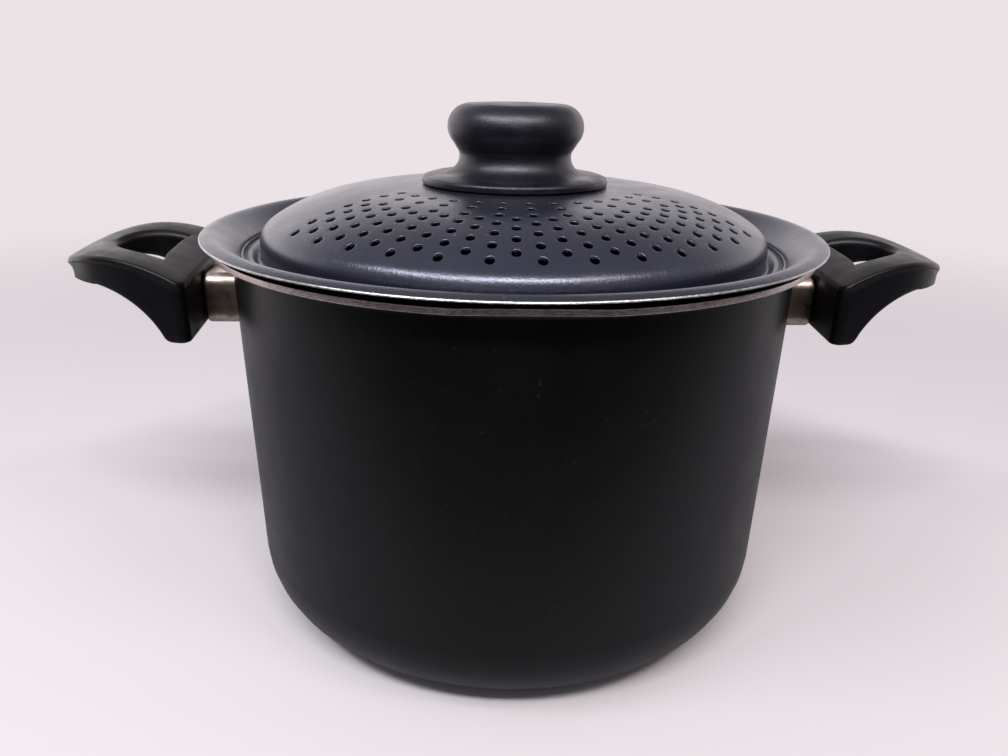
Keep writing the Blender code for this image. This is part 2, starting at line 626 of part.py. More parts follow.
def main():
    clear_scene()
    coating = material("black_coating", (0.012, 0.013, 0.015), 0.45)
    lid_coating = material("blue_black_coating", (0.018, 0.021, 0.03), 0.38)
    phenolic = material("black_phenolic", (0.017, 0.017, 0.019), 0.55)
    steel = material("steel", (0.55, 0.52, 0.48), 0.35, 1.0)
    brass = material("brass", (0.6, 0.45, 0.2), 0.35, 1.0)
    make_pot(coating)
    make_lid(lid_coating)
    make_knob(phenolic, steel, brass)
    for side in ("left", "right"):
        make_side(side, steel, phenolic)


main()
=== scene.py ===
"""Looks of a pasta pot with a strainer lid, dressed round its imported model.

Lengths here are in millimetres, and a mesh is made in metres. Every round piece is a profile of
(radius, height) carried round the pot's axis. The handles lie along X, and the pouring side with the
lid's holes faces -Y.
"""
from math import atan, cos, pi, radians, sin, tan

import bmesh
import bpy
import numpy as np
from mathutils import Matrix, Vector


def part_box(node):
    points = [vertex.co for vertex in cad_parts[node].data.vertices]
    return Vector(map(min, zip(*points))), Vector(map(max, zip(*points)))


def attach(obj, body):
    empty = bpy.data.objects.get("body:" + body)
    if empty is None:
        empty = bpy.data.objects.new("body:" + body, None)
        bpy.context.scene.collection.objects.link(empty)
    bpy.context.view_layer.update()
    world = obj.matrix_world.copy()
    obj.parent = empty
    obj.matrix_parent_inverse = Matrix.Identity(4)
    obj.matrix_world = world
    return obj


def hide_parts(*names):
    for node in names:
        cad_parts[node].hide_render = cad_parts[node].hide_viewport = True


MM = 0.001
SIDES = (("left", -1), ("right", 1))
FRONT = -pi / 2  # direction of the pouring side round the pot's axis
GAP = 0.3  # clearance between two pieces
MERGE_DISTANCE = 1e-6  # metres

# Edges sharper than these angles, in degrees, stay sharp
SHARP = 40.0
LID_SHARP = 60.0
HANDLE_SHARP = 50.0

# Roundings of small edges
FINE_ROUND = 0.2
SMALL_ROUND = 0.3
SOFT_ROUND = 0.4
LID_CUT_ROUND = 0.21  # of the lid's cut edge
LID_CUT_RISE = 0.04  # over that rounding

# Pot
POT_RADIUS = 110.0  # outside, where the flare starts
POT_SHEET = 2.1
POT_FLOOR = 3.2
WALL_LEAN = 0.0331  # inwards for each millimetre down
CORNER_RADIUS = 30.0
RIM_WIDTH = 7.0
FLARE_RADIUS = 3.0
BASE_RECESS_RADIUS = 52.0
BASE_RECESS = 0.6
POUR_FLAT_WIDTH = 46.0
BARE_EDGE = 0.4  # from the rim's cut edge to where bare metal starts to show
BARE_FADE = 0.3  # width over which it comes in
POT_COLUMNS = 288

# Lid
LID_SHEET = 0.9
FLANGE_RISE = 1.3
FLANGE_CREST_IN = 4.0
FLANGE_CREST_OUT = 8.3
FLANGE_STEEPNESS = 0.66
SEAT_SLOPE = radians(44)
SEAT_BEND = 3.0
SEAT_BEND_BELOW = 2.4  # from the seat down to the bend's corner
CHANNEL_CLEARANCE = 0.5
CHANNEL_DEPTH = 5.8
CHANNEL_WIDTH = 7.2
CHANNEL_START_UP = 2.6  # start of its inner wall over its bottom
CHANNEL_END_UP = 2.2  # end of its outer wall over its bottom
CHANNEL_INNER_ROUND = 1.0
CHANNEL_OUTER_ROUND = 1.4
BEAD_IN = 3.2
BEAD_SPAN = 6.6  # across its foot
BEAD_RISE = 2.1
BEAD_FULLNESS = 2.0
DOME_ABOVE_RIM = 20.5
DOME_FOOT = 9.3
DOME_FLATNESS = 4.4
DOME_SHOULDER = 1.09
DOME_EDGE_ROUND = 7.5
LID_TURN = radians(2.7)

# Holes of the lid
HOLE_RADIUS = 1.6
HOLE_LIP = 0.28
HOLE_UNDER_ROUND = 0.08
HOLE_STEP = radians(10)
OUTER_RING_IN = 7.2
RING_PITCH = 3.6
CLOSE_RINGS = 9
WIDE_RINGS = 2  # further in, at twice the pitch
FAN_REACH = 12  # half steps from the front to the last hole
ROWS_PER_RING = 4
COLUMNS_PER_STEP = 8  # of the grid, in the angle between two holes of a ring

# Knob
KNOB_HEAD_RADIUS = 26.6
KNOB_HEAD_ROUND = 8.6
KNOB_CROWN = 0.6
KNOB_WAIST_RADIUS = 22.0
KNOB_WAIST_ROUND = 4.4
KNOB_FOOT_ROUND = 6.5  # below the waist
KNOB_WAIST_UP = 10.5
KNOB_NECK_SLOPE = radians(40)
KNOB_FOOT_SLOPE = radians(64)
KNOB_SKIRT_RADIUS = 36.6
KNOB_SKIRT_WIDTH = 9.0
KNOB_SKIRT_EDGE = 2.4
KNOB_SKIRT_THICKNESS = 3.9
KNOB_SKIRT_FALL = 2.6
KNOB_SKIRT_ROUND = 1.2  # of its upper edge
KNOB_SKIRT_UNDER_ROUND = 0.5
KNOB_CORE_RADIUS = 28.0
KNOB_CORE_BOSS = 9.0
KNOB_CORE_DEPTH = 2.4
KNOB_BORE = 4.9
KNOB_SIDES = 128

# Fixings
SMALL_SIDES = 48
KNOB_SCREW_RADIUS = 2.4
HANDLE_SCREW_RADIUS = 2.6
SCREW_BORE = HANDLE_SCREW_RADIUS + GAP
SCREW_SEAT = 6.3  # from the handle's face
POCKET_RADIUS = 5.3
POCKET_START = -2.0
POCKET_PAST_WALL = 6.0  # into the finger hole
BRACKET_WIDTH = 24.0
BRACKET_HEIGHT = 20.4
BRACKET_CORNER = 4.5
BRACKET_FOLD = 1.1  # rounding of the bracket's end
BRACKET_SHEET = 0.9

# Handle: lengths from its face at the bracket, heights from the screw's axis
HANDLE_LENGTH = 55.8
HANDLE_HALF_WIDTH = 35.2
HANDLE_TAPER = 0.34
HANDLE_TURNS = {"left": radians(4.7), "right": radians(3.4)}
HANDLE_COLUMNS = 280
NOSE_FULLNESS = 4.0
NOSE_ROUND = 0.9
NOSE_CROWDING = 1.8  # power by which points crowd towards the nose
BLOCK_BELOW = 9.2
BLOCK_ABOVE = 13.9
BLOCK_LENGTH = 9.0
BLOCK_CORNER = 3.2  # rounding of the block's upright corners
BLOCK_UNDER_ROUND = 3.0
BLOCK_BLEND = 2.2  # length past the block over which its underside joins the arch
CREST_ABOVE = 22.1
CREST_OUT = 28.7
TOP_CROWN = 0.25
TIP_ABOVE = 14.0
TIP_THICKNESS = 5.4
TIP_UNDERCUT = 4.2
LOOP_THICKNESS = 11.9
UNDERSIDE_END_IN = 19.0
UNDERSIDE_START = radians(26)
UNDERSIDE_FULLNESS = 10.0  # of its nose seen from above
UNDERSIDE_HOLLOW = 3.0  # rise of the underside towards the finger hole
WALL_BULGE = 1.4  # power of the leaning wall's outward curve
TOP_EDGE_ROUND = 1.4
LOW_EDGE_ROUND = 1.6
TIP_LOW_EDGE_ROUND = 0.9
PARTING_RIDGE = 0.09  # how far the parting line stands out
PARTING_DEPTHS = (0.12, 0.3, 0.42)  # below the rounded edge: its start, its end and the wall's start
FINGER_HOLE_WALL = 12.0
FINGER_HOLE_LENGTH = 21.5
FINGER_HOLE_HALF_WIDTH = 15.6
FINGER_HOLE_BOW = 1.8
FINGER_HOLE_MIDDLE = 8.0  # from its base
FINGER_HOLE_LIP = 3.0

# Colours: linear red, green and blue, darker before lighter in a pair
POT_BLACK = (0.0028, 0.0028, 0.0032)
POT_CLOUDS = ((0.0012, 0.0012, 0.0015), (0.002, 0.002, 0.0024))
POT_DUST = (0.07, 0.07, 0.075)
POT_NICKS = (0.2, 0.19, 0.18)
POT_METAL = ((0.50, 0.42, 0.40), (0.94, 0.80, 0.76))
LID_BLACK = (0.012, 0.013, 0.02)
LID_TINT = (0.8, 0.84, 1.0)
LID_CLOUDS = ((0.007, 0.0075, 0.014), (0.009, 0.0095, 0.018))
LID_DUST = (0.12, 0.12, 0.13)
LID_METAL = ((0.40, 0.385, 0.375), (0.70, 0.68, 0.66))
HANDLE_BLACKS = ((0.0028, 0.0025, 0.0032), (0.0055, 0.0048, 0.005))
HANDLE_TINT = (1.0, 0.95, 0.98)
KNOB_BLACKS = ((0.0028, 0.0028, 0.005), (0.0034, 0.0034, 0.0062))
KNOB_TINT = (0.88, 0.87, 1.0)
PHENOLIC_DUST = (0.12, 0.115, 0.11)
STRAW_STEEL = (0.5, 0.45, 0.4)
# Bands up each bracket, heat tint mixed with painted light: a painted highlight along the top, a painted
# dark brown reflection across the middle, lighter again low down
TINT_AND_PAINTED_LIGHT_BANDS = (  # share of the bracket's height, colour
    (0.0, (0.45, 0.43, 0.35)), (0.2, (0.52, 0.47, 0.38)), (0.38, (0.33, 0.255, 0.205)),
    (0.72, (0.38, 0.29, 0.24)), (0.88, (0.68, 0.50, 0.40)), (1.0, (0.74, 0.60, 0.53)))
HEAT_BLOTCHES = (0.20, 0.155, 0.125)
SCREW_STEEL = (0.55, 0.53, 0.5)
INSERT_BRASS = (0.6, 0.44, 0.18)

# Stage
PALE = (0.835, 0.765, 0.79)
FLOOR_RADII = (200.0, 400.0, 600.0, 800.0, 1000.0, 1200.0)
FLOOR_SIDES = 96
FLOOR_FADE = (0.3, 1.1)  # metres from the pot's axis
# Painted shade on the floor as the object sees it: darkest in front of this span, lightest behind it
FLOOR_PAINTED_SHADE_SPAN = (-0.32, -0.1)  # metres along Y
FLOOR_SEEN = (0.60, 0.565, 0.58)
FLOOR_MIRRORED_PAINTED_SHADE = ((0.015, 0.015, 0.018), (0.27, 0.26, 0.275))  # in front, behind
ROOM_FRONT = ((0.04, 0.04, 0.045), (0.42, 0.42, 0.46))  # low, high
ROOM_LOW = ((1.6, 1.49, 1.52), (1.2, 1.12, 1.15))  # left, right
ROOM_HIGH = ((0.44, 0.43, 0.46), (0.27, 0.26, 0.29))  # left, right
LAMP_AIM = (0.0, 0.0, 150.0)
LAMPS = (  # name, place, size, power in watts, colour
    ("front_lamp", (-110.0, -900.0, 1250.0), (1150.0, 170.0), 21.0, (0.98, 0.98, 1.0)),
    ("left_lamp", (-860.0, -480.0, 1250.0), (560.0, 170.0), 7.0, (0.98, 0.98, 1.0)),
    ("right_lamp", (680.0, -660.0, 1200.0), (420.0, 170.0), 4.0, (1.0, 0.82, 0.72)))

# The camera that a fit to the photograph gave
CAMERA_PLACE = (-17.76, -340.56, 215.63)
CAMERA_HEADING = radians(-2.525)
CAMERA_PITCH = radians(90 - 19.954)
CAMERA_ROLL = radians(1.081)
CAMERA_LENS = 29.99
CAMERA_SENSOR = 36.0  # width

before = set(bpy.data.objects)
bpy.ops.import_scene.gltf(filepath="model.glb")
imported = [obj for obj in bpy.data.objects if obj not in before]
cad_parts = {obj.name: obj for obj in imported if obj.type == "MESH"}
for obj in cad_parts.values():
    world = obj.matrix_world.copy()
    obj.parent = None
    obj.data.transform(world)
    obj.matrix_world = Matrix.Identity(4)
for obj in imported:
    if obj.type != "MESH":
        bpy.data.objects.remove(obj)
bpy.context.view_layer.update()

POT_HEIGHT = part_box("pot_body")[1].z / MM
LID_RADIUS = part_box("strainer_lid")[1].x / MM
KNOB_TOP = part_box("lid_knob")[1].z / MM
KNOB_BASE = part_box("lid_knob")[0].z / MM
FIXING_HEIGHT = (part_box("bracket_right")[0].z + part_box("bracket_right")[1].z) / 2 / MM
HANDLE_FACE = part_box("handle_right")[0].x / MM
BRACKET_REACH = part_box("bracket_right")[1].x / MM
RIM_RADIUS = POT_RADIUS + RIM_WIDTH
FLARE_CENTRE = (POT_RADIUS + FLARE_RADIUS, POT_HEIGHT - POT_SHEET - FLARE_RADIUS)
CHANNEL_OUTER = POT_RADIUS - POT_SHEET - CHANNEL_CLEARANCE - LID_SHEET
CHANNEL_BOTTOM = POT_HEIGHT - CHANNEL_DEPTH
DOME_RADIUS = CHANNEL_OUTER - CHANNEL_WIDTH
DOME_TOP = POT_HEIGHT + DOME_ABOVE_RIM
DOME_RISE = DOME_ABOVE_RIM + CHANNEL_DEPTH - DOME_FOOT
LID_COLUMNS = round(2 * pi / HOLE_STEP) * COLUMNS_PER_STEP


# Meshes

def closed_mesh(name, points, faces, values=None):
    """A mesh in metres from an array of points in millimetres and a list of faces. Points that coincide,
    as at a pole, are merged, and faces turned outwards. values, one number per point, are kept as the
    attribute bare."""
    mesh = bpy.data.meshes.new(name)
    mesh.from_pydata((points * MM).tolist(), [], faces)
    if values is not None:
        bare = mesh.attributes.new("bare", "FLOAT", "POINT")
        bare.data.foreach_set("value", np.asarray(values, np.float32))
    bm = bmesh.new()
    bm.from_mesh(mesh)
    bmesh.ops.remove_doubles(bm, verts=bm.verts, dist=MERGE_DISTANCE)
    bmesh.ops.recalc_face_normals(bm, faces=bm.faces)
    bm.to_mesh(mesh)
    bm.free()
    return mesh


def shade(mesh, sharp):
    """Smooth shading, with edges sharper than an angle in degrees left sharp."""
    mesh.shade_smooth()
    mesh.set_sharp_from_angle(angle=radians(sharp))


def add_object(name, data):
    thing = bpy.data.objects.new(name, data)
    bpy.context.scene.collection.objects.link(thing)
    return thing


def make_piece(name, points, faces, mat, body, node, sharp=SHARP, values=None):
    """A piece that rides on a CAD body and takes a material; the CAD node that it stands for is hidden."""
    mesh = closed_mesh(name, points, faces, values)
    mesh.materials.append(mat)
    shade(mesh, sharp)
    piece = add_object(name, mesh)
    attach(piece, body)
    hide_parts(node)
    return piece


def grid_quads(rows, columns, close_rows=False):
    """Four corner indices of every cell of a grid of points stored row by row, as an array rows x columns
    x 4. The columns close round, and so may the rows."""
    i = np.arange(rows if close_rows else rows - 1)[:, None]
    j = np.arange(columns)[None, :]
    ni = (i + 1) % rows
    nj = (j + 1) % columns
    corners = [i * columns + j, i * columns + nj, ni * columns + nj, ni * columns + j]
    return np.stack(np.broadcast_arrays(*corners), axis=-1)


def grid_faces(rows, columns, close_rows=False):
    return grid_quads(rows, columns, close_rows).reshape(-1, 4).tolist()


def unit(v):
    return v / np.linalg.norm(v)


def arc(centre, radius, start, stop, count):
    a = np.linspace(start, stop, count)
    return np.stack([centre[0] + radius * np.cos(a), centre[1] + radius * np.sin(a)], axis=1)


def filleted(corners, steps=7, hold=0.5):
    """A line through corners (x, y, radius), each rounded by an arc that touches both of its sides: the
    arc's centre lies on the corner's bisector at radius / sin(half angle). A point is added hold away from
    each end of an arc, so that smooth shading stays inside it."""
    places = [np.array(c[:2], float) for c in corners]
    line = [places[0]]
    for k in range(1, len(corners) - 1):
        here = places[k]
        radius = corners[k][2]
        back = unit(places[k - 1] - here)
        ahead = unit(places[k + 1] - here)
        if radius == 0 or abs(np.dot(back, ahead)) > 0.9999:
            line.append(here)
            continue
        half = np.arccos(np.clip(np.dot(back, ahead), -1, 1)) / 2
        reach = radius / tan(half)
        centre = here + unit(back + ahead) * radius / sin(half)
        first = here + back * reach
        last = here + ahead * reach
        if np.linalg.norm(first - line[-1]) > 2 * hold:
            line.append(first + back * hold)
        start = np.arctan2(*(first - centre)[::-1])
        stop = np.arctan2(*(last - centre)[::-1])
        turn = (stop - start + pi) % (2 * pi) - pi
        line += list(arc(centre, radius, start, start + turn, steps))
        if np.linalg.norm(places[k + 1] - last) > 2 * hold:
            line.append(last + ahead * hold)
    line.append(places[-1])
    return np.array(line)


def turned_points(profile, angles):
    """A profile of (radius, height) carried round the axis: x = r cos a, y = r sin a, as an array rows x
    angles x 3."""
    r = profile[:, 0, None]
    z = np.broadcast_to(profile[:, 1, None], (len(profile), len(angles)))
    return np.stack([r * np.cos(angles), r * np.sin(angles), z], axis=-1)


def circle(count, start=0.0):
    return start + 2 * pi * np.arange(count) / count


def turned_body(profile, sides, place):
    """Points and faces of a closed turned body: its profile is a closed loop or runs from axis to axis.
    place is a 4 x 4 matrix."""
    points = turned_points(profile, circle(sides)).reshape(-1, 3)
    points = points @ np.array(place.to_3x3()).T + np.array(place.translation)
    ends_on_axis = profile[0, 0] == 0 and profile[-1, 0] == 0
    return points, grid_faces(len(profile), sides, close_rows=not ends_on_axis)


def turned_piece(name, profile, sides, mat, body, node, place=Matrix.Identity(4)):
    points, faces = turned_body(profile, sides, place)
    make_piece(name, points, faces, mat, body, node)


# Materials

class Nodes:
    """Short ways to add nodes to one tree. A value that is a socket is linked, and any other is set."""

    def __init__(self, tree):
        self.tree = tree

    def put(self, socket, value):
        if isinstance(value, bpy.types.NodeSocket):
            self.tree.links.new(value, socket)
        else:
            socket.default_value = value

    def feed(self, node, **inputs):
        """Fills a node's inputs, each by its name or by an underscore and its number."""
        for key, value in inputs.items():
            self.put(node.inputs[int(key[1:]) if key[0] == "_" else key.replace("_", " ")], value)
        return node

    def add(self, kind, settings=None, **inputs):
        node = self.tree.nodes.new(kind)
        for key, value in (settings or {}).items():
            setattr(node, key, value)
        return self.feed(node, **inputs)

    def math(self, operation, a, b=0.0):
        return self.add("ShaderNodeMath", {"operation": operation}, _0=a, _1=b).outputs[0]

    def vector(self, operation, **inputs):
        return self.add("ShaderNodeVectorMath", {"operation": operation}, **inputs).outputs["Vector"]

    def length(self, vector):
        return self.add("ShaderNodeVectorMath", {"operation": "LENGTH"}, _0=vector).outputs["Value"]

    def join(self, **parts):
        return self.add("ShaderNodeCombineXYZ", **parts).outputs["Vector"]

    def split(self, vector):
        return self.add("ShaderNodeSeparateXYZ", Vector=vector).outputs

    def span(self, value, low, high, to_low=0.0, to_high=1.0, smooth=True):
        """Maps a value from one span to another, held at its ends."""
        kind = "SMOOTHSTEP" if smooth else "LINEAR"
        node = self.add("ShaderNodeMapRange", {"interpolation_type": kind},
                        Value=value, From_Min=low, From_Max=high, To_Min=to_low, To_Max=to_high)
        return node.outputs["Result"]

    def mix(self, share, a, b):
        """From colour a to colour b, each a socket or three numbers."""
        a, b = (c if isinstance(c, bpy.types.NodeSocket) else (*c, 1.0) for c in (a, b))
        return self.add("ShaderNodeMix", {"data_type": "RGBA"}, Factor=share, A=a, B=b).outputs["Result"]

    def mix_numbers(self, share, a, b):
        return self.add("ShaderNodeMix", {"data_type": "FLOAT"}, _0=share, _2=a, _3=b).outputs[0]

    def noise(self, vector, scale, detail=3.0, rough=0.5):
        node = self.add("ShaderNodeTexNoise", Vector=vector, Scale=scale, Detail=detail, Roughness=rough)
        return node.outputs["Fac"]

    def place(self):
        """The point in the part's own frame, in metres."""
        return self.add("ShaderNodeTexCoord").outputs["Object"]

    def bump(self, height, distance, strength):
        node = self.add("ShaderNodeBump", Height=height, Distance=distance, Strength=strength)
        return node.outputs["Normal"]

    def use(self, group, **inputs):
        """The one output of a node group."""
        return self.add("ShaderNodeGroup", {"node_tree": group}, **inputs).outputs[0]


def new_group(name, output, **inputs):
    """An empty shader node group of numbers: its inputs with their defaults, and its one output."""
    group = bpy.data.node_groups.new(name, "ShaderNodeTree")
    for label, value in inputs.items():
        socket = group.interface.new_socket(label, in_out="INPUT", socket_type="NodeSocketFloat")
        socket.default_value = value
    group.interface.new_socket(output, in_out="OUTPUT", socket_type="NodeSocketFloat")
    given = group.nodes.new("NodeGroupInput").outputs
    leave = group.nodes.new("NodeGroupOutput").inputs[output]
    return group, Nodes(group), given, leave


def make_around_group():
    """A seamless grain round the pot's axis: noise at the unit direction from the axis times Across, and at
    the distance from the axis plus the height times Outwards."""
    group, n, given, leave = new_group("grain round the axis", "Grain", Across=100.0, Outwards=1000.0)
    at = n.split(n.place())
    flat = n.join(X=at["X"], Y=at["Y"])
    way = n.vector("SCALE", _0=n.vector("NORMALIZE", _0=flat), Scale=given["Across"])
    run = n.math("ADD", n.length(flat), at["Z"])
    up = n.join(Z=n.math("MULTIPLY", run, given["Outwards"]))
    n.put(leave, n.noise(n.vector("ADD", _0=way, _1=up), 1.0, 3.0, 0.6))
    return group


def make_speckle_group():
    """Sparse small spots: a Voronoi cell shows its spot, out to Size, where its random value is below Share.
    A fine noise pushes their edges about by Ragged, in metres, and Flatness makes them wider than high."""
    group, n, given, leave = new_group("speckle", "Mask", Scale=300.0, Share=0.1, Size=0.2, Ragged=0.0012,
                                       Flatness=1.0)
    place = n.place()
    warp = n.add("ShaderNodeTexNoise", Vector=place, Scale=900.0, Detail=2.0).outputs["Color"]
    place = n.vector("ADD", _0=place, _1=n.vector("SCALE", _0=warp, Scale=given["Ragged"]))
    place = n.vector("MULTIPLY", _0=place, _1=n.join(X=1.0, Y=1.0, Z=given["Flatness"]))
    cells = n.add("ShaderNodeTexVoronoi", Vector=place, Scale=given["Scale"]).outputs
    pick = n.add("ShaderNodeSeparateColor", Color=cells["Color"]).outputs
    chosen = n.math("LESS_THAN", pick["Red"], given["Share"])
    size = n.math("MULTIPLY", given["Size"], n.math("ADD", pick["Green"], 0.3))
    spot = n.math("LESS_THAN", cells["Distance"], size)
    n.put(leave, n.math("MULTIPLY", chosen, spot))
    return group


def make_worn_group():
    """Mask of bare metal: the attribute bare, whose edge is broken up by a fine noise."""
    group, n, given, leave = new_group("worn to metal", "Mask", Scale=900.0, Raggedness=0.5)
    bare = n.add("ShaderNodeAttribute", {"attribute_name": "bare"}).outputs["Fac"]
    rag = n.math("SUBTRACT", n.noise(n.place(), given["Scale"], 4.0, 0.6), 0.5)
    edge = n.math("ADD", bare, n.math("MULTIPLY", rag, given["Raggedness"]))
    n.put(leave, n.span(edge, 0.42, 0.58))
    return group


GRAIN = make_around_group()
SPECKLE = make_speckle_group()
WORN = make_worn_group()


def new_material(name, base, roughness, metallic=0.0, **sockets):
    """A Principled material with its starting values and its view colour."""
    mat = bpy.data.materials.new(name)
    mat.use_nodes = True
    mat.diffuse_color = (*base, 1.0)
    shader = mat.node_tree.nodes["Principled BSDF"]
    n = Nodes(mat.node_tree)
    n.feed(shader, Base_Color=(*base, 1.0), Roughness=roughness, Metallic=metallic, **sockets)
    return mat, shader, n


def wear(n, shader, color, rough, bare, metals):
    """A coating that is worn to bare aluminium by a mask: a fine grain over slow stains, from the darker to
    the lighter of two metal colours."""
    grain = n.use(GRAIN, Across=70.0, Outwards=2600.0)
    stain = n.noise(n.place(), 90.0, 4.0, 0.6)
    share = n.span(n.math("ADD", n.math("MULTIPLY", grain, 0.6), n.math("MULTIPLY", stain, 0.4)), 0.36, 0.64)
    metal_rough = n.span(grain, 0.3, 0.7, 0.3, 0.5)
    n.feed(shader, Base_Color=n.mix(bare, color, n.mix(share, *metals)), Metallic=bare,
           Roughness=n.mix_numbers(bare, rough, metal_rough))


def make_pot_coating():
    """Satin black non-stick: fine pale speckle, a few nicks, and the bare cut edge of the rim."""
    mat, shader, n = new_material("pot_coating", POT_BLACK, 0.4, Specular_IOR_Level=0.36)
    place = n.place()
    color = n.mix(n.span(n.noise(place, 14.0, 3.0), 0.35, 0.65), *POT_CLOUDS)
    dust = n.use(SPECKLE, Scale=760.0, Share=0.09, Size=0.24, Ragged=0.002)
    color = n.mix(n.math("MULTIPLY", dust, 0.16), color, POT_DUST)
    nicks = n.use(SPECKLE, Scale=40.0, Share=0.03, Size=0.045, Ragged=0.003, Flatness=2.4)
    color = n.mix(nicks, color, POT_NICKS)
    satin = n.span(n.noise(place, 60.0, 4.0), 0.3, 0.7, 0.31, 0.38)
    wear(n, shader, color, satin, n.use(WORN, Scale=700.0, Raggedness=0.35), POT_METAL)
    height = n.math("ADD", n.math("MULTIPLY", n.noise(place, 1900.0, 2.0), 0.5), n.noise(place, 330.0, 2.0))
    n.feed(shader, Normal=n.bump(height, 0.00006, 0.5))
    return mat


def make_lid_coating():
    """Satin blue-black non-stick over a fine grain that runs outwards; bare metal at the cut edge and in the
    holes."""
    mat, shader, n = new_material("lid_coating", LID_BLACK, 0.3, Specular_IOR_Level=1.0,
                                  Specular_Tint=(*LID_TINT, 1.0))
    place = n.place()
    color = n.mix(n.span(n.noise(place, 25.0, 3.0), 0.35, 0.65), *LID_CLOUDS)
    dust = n.use(SPECKLE, Scale=500.0, Share=0.06, Size=0.2)
    color = n.mix(n.math("MULTIPLY", dust, 0.4), color, LID_DUST)
    satin = n.span(n.noise(place, 80.0, 3.0), 0.3, 0.7, 0.27, 0.33)
    wear(n, shader, color, satin, n.use(WORN, Scale=1100.0, Raggedness=0.45), LID_METAL)
    grain = n.use(GRAIN, Across=125.0, Outwards=260.0)
    height = n.math("ADD", n.math("MULTIPLY", n.noise(place, 1100.0, 2.0), 0.7), grain)
    n.feed(shader, Normal=n.bump(height, 0.00016, 0.6))
    return mat


def make_phenolic(name, blacks, tint, gloss, rough, texture):
    """Matte black moulding: faint mottling, a dusty bloom on what faces up, and a fine texture of a given
    depth in metres."""
    mat, shader, n = new_material(name, blacks[0], rough, Specular_IOR_Level=gloss,
                                  Specular_Tint=(*tint, 1.0))
    place = n.place()
    up = n.split(n.add("ShaderNodeNewGeometry").outputs["Normal"])["Z"]
    cloud = n.noise(place, 45.0, 4.0, 0.6)
    bloom = n.math("MULTIPLY", n.span(up, 0.1, 0.95), n.span(cloud, 0.25, 0.75, 0.35, 1.0))
    dust = n.use(SPECKLE, Scale=600.0, Share=0.05, Size=0.2)
    color = n.mix(n.math("MULTIPLY", dust, 0.3), n.mix(bloom, *blacks), PHENOLIC_DUST)
    satin = n.span(n.noise(place, 120.0, 4.0), 0.3, 0.7, rough - 0.06, rough + 0.06)
    height = n.math("ADD", n.noise(place, 1500.0, 2.0), n.math("MULTIPLY", n.noise(place, 260.0, 2.0), 0.25))
    n.feed(shader, Base_Color=color, Roughness=satin, Normal=n.bump(height, texture, 0.6))
    return mat


def make_bracket_steel():
    """Worn stainless steel, tinted by heat and with painted light: a painted highlight, straw to pale, along
    its top, a painted dark brown reflection across its middle, lighter again low down, blotched.
    """
    mat, shader, n = new_material("bracket_steel", STRAW_STEEL, 0.34, 1.0)
    place = n.place()
    height = n.math("ADD", n.split(place)["Z"], n.math("MULTIPLY", n.noise(place, 120.0), 0.004))
    low = (FIXING_HEIGHT - BRACKET_HEIGHT / 2) * MM
    up = n.span(height, low, low + BRACKET_HEIGHT * MM, smooth=False)
    # Heat tint and painted light by height: painted highlight at the top, painted dark reflection across the
    # middle
    ramp = n.add("ShaderNodeValToRGB", Fac=up)
    for k, (at, tint) in enumerate(TINT_AND_PAINTED_LIGHT_BANDS):
        stop = ramp.color_ramp.elements[k] if k < 2 else ramp.color_ramp.elements.new(at)
        stop.position = at
        stop.color = (*tint, 1.0)
    blotch = n.noise(place, 260.0, 5.0, 0.65)
    color = n.mix(n.span(blotch, 0.42, 0.62, 0.0, 0.6), ramp.outputs["Color"], HEAT_BLOTCHES)
    n.feed(shader, Base_Color=color, Roughness=n.span(blotch, 0.3, 0.7, 0.26, 0.44),
           Normal=n.bump(n.noise(place, 500.0, 3.0), 0.00006, 0.6))
    return mat


def make_plain_metal(name, color, low, high):
    """Turned metal, slightly stained, whose roughness goes from low to high."""
    mat, shader, n = new_material(name, color, (low + high) / 2, 1.0)
    place = n.place()
    stain = n.span(n.noise(place, 220.0, 4.0, 0.6), 0.35, 0.7)
    n.feed(shader, Base_Color=n.mix(stain, color, tuple(0.7 * c for c in color)),
           Roughness=n.span(n.noise(place, 700.0, 3.0), 0.3, 0.7, low, high),
           Normal=n.bump(n.noise(place, 1500.0, 2.0), 0.00003, 0.5))
    return mat


POT_COATING = make_pot_coating()
LID_COATING = make_lid_coating()
HANDLE_PHENOLIC = make_phenolic("handle_phenolic", HANDLE_BLACKS, HANDLE_TINT, 0.24, 0.38, 0.00006)
KNOB_PHENOLIC = make_phenolic("knob_phenolic", KNOB_BLACKS, KNOB_TINT, 0.6, 0.39, 0.00015)
BRACKET_STEEL = make_bracket_steel()
STEEL = make_plain_metal("screw_steel", SCREW_STEEL, 0.24, 0.4)
BRASS = make_plain_metal("insert_brass", INSERT_BRASS, 0.28, 0.42)


# Pot

def wall_radius(height):
    """Outside radius of the leaning wall at a height."""
    return POT_RADIUS - WALL_LEAN * (FLARE_CENTRE[1] - height)


